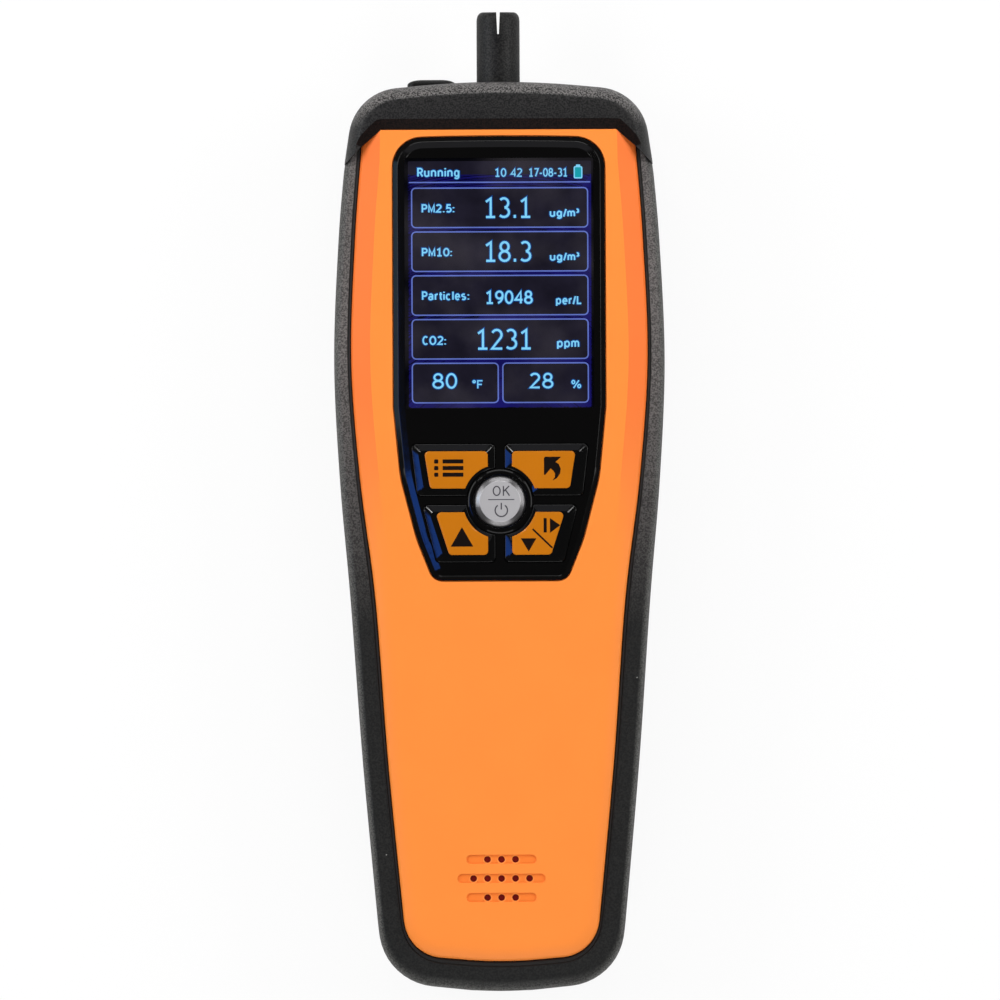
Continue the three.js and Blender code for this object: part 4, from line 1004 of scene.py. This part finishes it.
slash_a, slash_b = Vector((7.65, -6.5)), Vector((12.3, -10.97))
slash_side = (slash_b - slash_a).orthogonal().normalized() * 0.21
menu_rows = 9.5, 7.93, 6.36
SIGNS = {
    "menu": [bar(-15.5, -14.5, y - 0.5, y + 0.5, 0.25) for y in menu_rows]
    + [bar(-13.5, -8.6, y - 0.48, y + 0.48) for y in menu_rows],
    "back": [sign([
        (10.4, 6.3), (10.4, 10.2), (10.7, 10.5), (14.3, 10.5), (14.3, 10.3), (13.1, 9.3), (13.9, 8.75),
        (14.35, 7.7), (14.2, 6.6), (13.5, 5.5), (12.4, 4.9), (12.95, 5.7), (13.0, 6.5), (12.6, 7.2),
        (11.95, 7.75), (10.9, 6.45), (10.65, 6.25),
    ])],
    "up": [sign([(-11.65, -10.6), (-6.35, -10.6), (-9.0, -6.0)])],
    "down": [
        sign([(4.85, -8.7), (8.55, -8.7), (6.72, -11.85)]),
        sign([slash_a - slash_side, slash_b - slash_side, slash_b + slash_side, slash_a + slash_side]),
        bar(10.25, 11.0, -7.35, -3.95, 0.05),
        sign([(11.75, -7.45), (14.2, -5.65), (11.75, -3.95)]),
    ],
}
for name, across, up in KEYS:
    rings = []
    for inset, height in (
        (0, cap_foot), (0, key_face - 0.42), (0.03, key_face - 0.37), (0.1, key_face - 0.325),
        (1.5, key_face - 0.02), (1.6, key_face),
    ):
        rim = key_outline(across, up, cap_curve + inset, cap_margin - inset, cap_outer - inset, 1.1)
        rings.append(at_height(rim, height))
    cap = lofted(f"{name}_cap", rings)
    pocket = key_outline(across, up, inlay_curve - inlay_gap, inlay_gap, inlay_gap)
    combined(cap, [prism("pocket", pocket, inlay_foot - 0.03, key_face + 1)])
    stem_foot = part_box(f"{name}_key")[0].z / mm
    flange = key_outline(across, up, cap_curve - 0.6, cap_margin + 0.6, cap_outer + 0.6, 1.2)
    switch_x, switch_y = (11.5, 7.5) if up > 0 else (9, 8)
    stem_steps = (1.2, stem_foot), (1.5, stem_foot + 0.3), (1.5, cap_foot - 1.1)
    combined(cap, [
        prism("flange", flange, flange_foot, cap_foot + 0.02),
        round_cutter("stem", across * switch_x, key_centre + up * switch_y, stem_steps, 24),
    ], "UNION")
    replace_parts(dressed(smoothed(cap, 24), key_gloss), f"{name}_key")
    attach(cap, f"{name}_key_body")
    pad = key_outline(across, up, inlay_curve, 0, 0)
    inlay = stack(f"{name}_inlay_plate", pad, (
        (0, inlay_foot), (0, key_face - 0.14), (-0.05, key_face - 0.06), (-0.16, key_face - ink - 0.01),
        (-0.5, key_face - ink),
    ))
    dressed(smoothed(inlay, 24), amber)
    inks = []
    for shape in SIGNS[name]:
        placed = [Vector((p.x, p.y + key_centre)) for p in shape]
        inks.append(dressed(prism("sign", placed, key_face - ink - 0.05, key_face), print_black))
    inlay = joined(f"{name}_inlay_plate", [inlay, *inks])
    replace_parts(inlay, f"{name}_key_inlay")
    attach(inlay, f"{name}_key_body")

# ------------------------------------------------------------------ middle key
# A turned, plated key with a flat satin face and a bright bevelled rim. A flange holds it under the window
# frame, and its marks are printed on the face in dark paint.
silver = moulded("silver_key", (0.45, 0.44, 0.45), 0.42, 0.12, 0.004, mottle=0.06, spread=0.08, metallic=0.25)
bright = moulded("silver_rim", (0.2, 0.195, 0.2), 0.3, 0.9, 0.01, mottle=0.1, spread=0.06, metallic=0.9)
ok_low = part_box("ok_key")[0].z / mm
ok_radius, ok_face = 6.15, 4.8
flange_radius = ok_radius + 0.55
middle = round_cutter("middle_key", 0, key_centre, (
    (1.3, ok_low), (1.6, ok_low + 0.3), (1.6, flange_foot), (flange_radius, flange_foot),
    (flange_radius, cap_foot), (ok_radius, cap_foot), (ok_radius, key_face - 1.0),
    (ok_radius - 0.05, key_face - 0.89), (ok_radius - 0.14, key_face - 0.82),
    (ok_face + 0.1, key_face - 0.07), (ok_face, key_face - 0.025), (ok_face - 0.15, key_face - 0.02),
), 96)
dressed(smoothed(middle, 20), silver, bright)
marked(middle, lambda f: f.normal.z <= 0.99)
mark_z = key_face - 0.012
paint = moulded("key_paint", (0.05, 0.045, 0.055), 0.5, 0.1, 0.001, mottle=0.15)
marks = written("mark", "OK", -1.75, 2.25, key_centre + 1.35, 2.3, mark_z, 0.3, paint)


def arc_band(x, y, radius, width, start, end):
    """A curved stroke of even width."""
    near, far = ([Vector(p) for p in arc(x, y, radius + side, radius + side, start, end, 28)]
                 for side in (-width / 2, width / 2))
    return far + near[::-1]


for shape in (
    bar(-2.8, 3.4, key_centre + 0.34, key_centre + 0.56, 0.05),
    bar(0.14, 0.46, key_centre - 1.9, key_centre - 0.3, 0.05),
    arc_band(0.3, key_centre - 2.1, 1.45, 0.32, 125, 415),
):
    verts = at_height(shape, mark_z)
    faces = [tuple(t) for t in tessellate_polygon([[Vector(v) for v in verts]])]
    marks.append(dressed(mesh_piece("mark", verts, faces), paint))
middle = joined("middle_key", [middle, *marks])
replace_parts(middle, "ok_key")
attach(middle, "ok_key_body")

# ------------------------------------------------------------------ end cap
# A hard black cap over the sensor end, held by two screws and closed against the grip along two slanting
# seams. It has a rounded outer rim and slopes down to the orange cover from a crease.
z_low, z_high = cap_low.z, cap_high.z
lower_rim = [(-inset, z_low + rise) for inset, rise in ((1.6, 0), (0.7, 0.25), (0.15, 1.0), (0, 2.2))]
upper_rim = [(-inset, z_high - drop) for inset, drop in (
    (0, 5.0), (0.1, 4.2), (0.35, 3.3), (0.75, 2.4), (1.2, 1.65), (1.7, 1.05), (2.15, 0.62), (2.5, 0.4),
    (2.8, 0.3), (3.6, 0.22), (6, 0.05), (7, 0),
)]
end_cap = stack("end_cap", body_outline, lower_rim + upper_rim)
seam_reach, seam_start = 12, seam_inner.y + 0.14
right_side = [Vector(p) for p in (
    (seam_inner.x - 3, seam_start), (seam_inner.x, seam_start),
    (seam_inner.x + seam_reach, seam_start - seam_reach * seam_slope), (body_half + seam_reach, body_top + 9),
)]
cap_field = right_side[::-1] + [Vector((-p.x, p.y)) for p in right_side]
combined(end_cap, [prism("field", cap_field, z_low - 1, z_high + 1)], "INTERSECT")
combined(end_cap, [stack("slope", panel_outline, (
    (slit_gap, z_low - 2), (slit_gap, face + 0.05), (slit_gap + 0.35, face + 0.2), (2.5, z_high - 0.12),
    (3.4, z_high + 0.9),
))])
probe_low, probe_high = (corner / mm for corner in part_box("probe_tube"))
probe_z = (probe_low.z + probe_high.z) / 2
probe_radius, probe_bore, probe_tip = 5.1, 3.6, probe_high.y


def turned_along_y(name, profile):
    """A round piece on the probe's axis: profile gives places along it and radii."""
    sides = 64
    angles = [math.tau * k / sides for k in range(sides)]
    return lofted(name, [
        [(r * math.sin(a), y, probe_z + r * math.cos(a)) for a in angles] for y, r in profile
    ])


passage = probe_radius + 0.12
combined(end_cap, [turned_along_y("passage", ((panel_top - 1, passage), (body_top + 2, passage)))])
inlet_low, inlet_high = (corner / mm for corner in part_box("inlet_grille"))
inlet_x, inlet_z = (inlet_low.x + inlet_high.x) / 2, (inlet_low.z + inlet_high.z) / 2
inlet_round = 1.5


def inlet_ring(grow, y, taper=0):
    x, z = (inlet_high.x - inlet_low.x) / 2 + grow - taper, (inlet_high.z - inlet_low.z) / 2 + grow
    return [(inlet_x + p.x, y, inlet_z + p.y) for p in block(-x, x, -z, z, inlet_round)]


def sloping(f):
    return f.normal.y < -0.15 and 0.2 < f.normal.z < 0.99 and f.center.y < (panel_top + 4) * mm


combined(end_cap, [lofted("mouth", [inlet_ring(0.12, inlet_low.y - 1), inlet_ring(0.12, body_top + 2)])])
# Painted light and shade on the cap: faces turned to the sensor end are a lighter grey, a painted highlight,
# and upright sides a darker tone, a painted shade.
cap_black = moulded("cap_plastic", (0.0105, 0.0100, 0.0098), 0.48, 0.24, 0.04, mottle=0.2, spread=0.1,
                    specular=0.28, dust=0.006, painted_lean=(0.085, 0.080, 0.078), lean_to="Y",
                    painted_wall=(0.014, 0.0135, 0.013), pepper=0.95)
# Painted shade: the slope down to the orange cover is a darker, browner black.
cap_slope_shade_black = moulded("cap_slope_shade", (0.006, 0.0028, 0.0022), 0.5, 0.24, 0.03, mottle=0.3, specular=0.08,
                      pepper=0.75)
smoothed(end_cap, 26)
# The slope's faces get the painted shade.
marked(end_cap, sloping)
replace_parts(dressed(end_cap, cap_black, cap_slope_shade_black), "top_cap")
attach(end_cap, "case")

# ------------------------------------------------------------------ probe and inlet
# The probe is a moulded tube with a domed rim, slit crosswise so that air reaches the humidity sensor in it.
# The inlet is a small gloss-black grille pushed into the cap's end.
flange, flange_top, flange_radius = probe_low.y, probe_low.y + 1.4, probe_radius + 2.05
tube = turned_along_y("tube", [
    (flange, 4.4), (flange, flange_radius), (flange_top, flange_radius), (flange_top, probe_radius),
] + [(probe_tip - back, probe_radius - inset) for back, inset in (
    (2.0, 0), (1.3, 0.1), (0.8, 0.28), (0.4, 0.58), (0.12, 0.95), (0, 1.35),
)])
slit_end, slit_reach, slit_top, slit_foot = probe_tip - 5.2, probe_tip + 1, 0.46, 0.18
slit_shape = [(-slit_top, slit_reach), (-slit_foot, slit_end), (slit_foot, slit_end), (slit_top, slit_reach)]
combined(tube, [
    turned_along_y("bore", ((flange - 1, probe_bore), (probe_tip - 0.25, probe_bore),
                            (probe_tip + 0.2, probe_bore + 0.45), (probe_tip + 1, probe_bore + 0.45))),
    lofted("slit", [[(x, y, probe_z + z) for x, y in slit_shape] for z in (-7, 7)]),
    lofted("cross_slit", [[(z, y, probe_z + x) for x, y in slit_shape] for z in (-7, 7)]),
])
probe_black = moulded("probe_plastic", (0.0102, 0.0098, 0.0096), 0.5, 0.24, 0.045, mottle=0.25, spread=0.1,
                      specular=0.22, dust=0.005, pepper=0.85)
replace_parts(dressed(smoothed(tube, 30), probe_black), "probe_tube")
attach(tube, "case")

grille = lofted("grille", [inlet_ring(0, inlet_low.y)] + [
    inlet_ring(-inset, inlet_high.y - depth, taper) for inset, depth, taper in (
        (0, 1.1, 0), (0.05, 0.75, 0.2), (0.1, 0.45, 0.6), (0.2, 0.2, 1.2), (0.3, 0.06, 1.8), (0.45, 0, 2.4),
    )
])
bar_slot = lofted("slot", [
    [(p.x, y, inlet_z + p.y) for p in oblong(-0.9, 0.9, -3, 3)] for y in (inlet_low.y - 1, inlet_high.y + 1)
])
combined(grille, [repeated("inlet_slots", bar_slot, [(inlet_x + 3.2 * k, 0, 0) for k in (-1, 0, 1)])])
inlet_black = moulded("inlet_plastic", (0.006, 0.0058, 0.0056), 0.4, 0.24, 0.03, mottle=0.2, specular=0.2,
                      pepper=0.5)
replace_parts(dressed(smoothed(grille, 30), inlet_black), "inlet_grille")
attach(grille, "case")

# ------------------------------------------------------------------ parts inside
# What the covers hide: boards, display stack, switches, dust sensor with its fan, gas sensor, battery and
# ducts. They keep their machined shapes and get the finishes of such parts.
for finish, nodes in (
    (moulded("circuit_board", (0.012, 0.11, 0.045), 0.4, 0.5, 0.01, mottle=0.35, spread=0.12),
     ("main_board", "dust_sensor_board", "humidity_board", "gas_sensor_board")),
    (moulded("tin_plate", (0.62, 0.62, 0.6), 0.34, 0.8, 0.006, mottle=0.12, spread=0.12, metallic=1),
     ("lcd_frame", "usb_socket", "menu_switch", "back_switch", "up_switch", "down_switch", "ok_switch")),
    (moulded("display_panel", (0.003, 0.003, 0.006), 0.12, 1.5, 0.002, spread=0.04), ("lcd_panel",)),
    (moulded("white_plastic", (0.8, 0.78, 0.7), 0.45, 0.3, 0.01), ("backlight", "battery_connector")),
    (moulded("flex_film", (0.42, 0.16, 0.03), 0.28, 0.6, 0.008, mottle=0.2, spread=0.1),
     ("lcd_flex", "probe_flex")),
    (moulded("inner_black", (0.015, 0.015, 0.016), 0.5, 0.25, 0.015, mottle=0.15, spread=0.1),
     ("buzzer", "dust_sensor_base", "dust_sensor_lid", "fan_frame", "fan_rotor", "inlet_duct", "usb_tongue")),
    # The buzzer gasket's dark maroon is painted shade, the colour of the shaded orange down the grille's
    # holes.
    (moulded("foam", (0.035, 0.004, 0.006), 0.95, 0.12, 0.06, mottle=0.4, spread=0.04), ("buzzer_gasket",)),
    (moulded("filter_foam", (0.09, 0.095, 0.1), 0.95, 0.5, 0.2, mottle=0.4, spread=0.04),
     ("inlet_filter", "battery_pad")),
    (moulded("laser_brass", (0.62, 0.4, 0.14), 0.3, 0.6, 0.006, mottle=0.12, spread=0.1, metallic=1),
     ("laser_diode", "gas_chamber")),
    (moulded("seal_rubber", (0.012, 0.012, 0.012), 0.7, 0.2, 0.02, mottle=0.2), ("probe_seal",)),
    (moulded("battery_wrap", (0.3, 0.32, 0.36), 0.3, 1.2, 0.02, mottle=0.08, spread=0.1, metallic=0.4),
     ("battery_cell",)),
    (moulded("lead_red", (0.45, 0.012, 0.01), 0.42, 0.3, 0.008, mottle=0.12), ("battery_lead_red",)),
    (moulded("lead_black", (0.012, 0.012, 0.012), 0.42, 0.3, 0.008, mottle=0.12), ("battery_lead_black",)),
):
    for node in nodes:
        dressed(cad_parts[node], finish)

# ------------------------------------------------------------------ painted shade in the grille holes
# Painted shade: dark maroon discs set down in the buzzer grille's holes, standing for the shaded orange
# inside them. Only the discs in the holes are made, as copies of one disc.
hole_shade = moulded("grille_cloth", (0.13, 0.006, 0.005), 0.95, 0.12, 0.05, mottle=0.4, spread=0.04,
                 specular=0.1)
shade_disc_radius, shade_disc_z = hole_radius - 0.02, slot_floor - 0.4
tuft = round_cutter("tuft", 0, 0, ((shade_disc_radius, shade_disc_z - 0.3), (shade_disc_radius, shade_disc_z)), 24)
hole_shade_discs = repeated("grille_cloth", tuft, grille_holes, hole_shade)
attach(hole_shade_discs, "case")

# ------------------------------------------------------------------ vent gauze
# Woven steel gauze, stuck inside the rear cover over the exhaust louvres to keep insects out. Each way it is
# copies of one wavy wire.
mesh_low, mesh_high = (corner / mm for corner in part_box("vent_mesh"))
mesh_middle = (mesh_low + mesh_high) / 2
wire_pitch, wire_radius, wire_wave = 1.0, 0.12, 0.09
wire_steel = moulded("mesh_steel", (0.3, 0.3, 0.3), 0.35, 0.4, 0.01, mottle=0.2, spread=0.1, metallic=1)
gauze = []
for along, across in ((0, 1), (1, 0)):
    half = (mesh_high - mesh_low)[along] / 2
    count = int((mesh_high - mesh_low)[across] / wire_pitch) - 1
    rings = []
    for step in range(41):
        at = -half + 2 * half * step / 40
        wave = wire_wave * math.cos(math.pi * at / wire_pitch) * (1 if along else -1)
        ring = []
        for turn in [math.tau * k / 6 for k in range(6)]:
            point = [0, 0, wire_radius * math.sin(turn) + wave]
            point[along], point[across] = at, wire_radius * math.cos(turn)
            ring.append(tuple(point))
        rings.append(ring)
    places = [mesh_middle.copy() for k in range(count)]
    for k, place in enumerate(places):
        place[across] += (k - (count - 1) / 2) * wire_pitch
    gauze.append(repeated("gauze", lofted("wire", rings), places, wire_steel))
gauze = joined("gauze", gauze)
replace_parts(gauze, "vent_mesh")
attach(gauze, "case")

# ------------------------------------------------------------------ screws
# Ten cross-recessed steel screws: four close the covers, four hold the board, two hold the end cap. Each kind
# is one pattern, copied to its places by a node tree.
screw_steel = moulded("screw_steel", (0.46, 0.45, 0.44), 0.3, 0.5, 0.01, mottle=0.15, spread=0.12, metallic=1)
thread_pitch = 0.5


def screw_template(head, head_height, shank, length):
    """A screw whose head's underside lies at the origin, with the head below it and the thread above."""
    thread = length - 1
    turns = round(thread / thread_pitch)
    profile = [(0.02, -head_height), (head * 0.7, -head_height), (head * 0.93, -head_height * 0.75),
               (head, -head_height * 0.2), (head * 0.97, 0), (shank * 0.85, 0)]
    for z in [thread * (k + 0.5) / turns for k in range(turns)]:
        profile += [(shank * 0.8, z - 0.14), (shank, z), (shank * 0.8, z + 0.14)]
    profile += [(shank * 0.6, length - 0.4), (0.02, length)]
    arm, thick = head * 0.56, head * 0.12
    cross = [
        prism("arm", oblong(-x, x, -y, y), -head_height - 1, -head_height * 0.4)
        for x, y in ((arm, thick), (thick, arm))
    ]
    return smoothed(combined(round_cutter("screw", 0, 0, profile, 28), cross), 35)


for kind, count, head_height in (("case_screw", 4, 1.8), ("board_screw", 4, 1.3), ("cap_screw", 2, 1.5)):
    names = [f"{kind}_{index}" for index in range(1, count + 1)]
    low, high = (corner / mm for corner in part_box(names[0]))
    lying = kind == "cap_screw"
    head = (high.x - low.x) / 2
    length = (high - low)[1 if lying else 2] - head_height
    pattern = screw_template(head - 0.02, head_height, head * 0.5, length)
    if lying:
        pattern.data.transform(Matrix.Rotation(math.radians(-90), 4, "X"))
    places = []
    for node in names:
        low, high = (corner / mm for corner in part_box(node))
        x, y, z = (low + high) / 2
        places.append((x, low.y + head_height, z) if lying else (x, y, low.z + head_height))
    screws = repeated(f"{kind}s", pattern, places, screw_steel)
    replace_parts(screws, *names)
    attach(screws, "case")
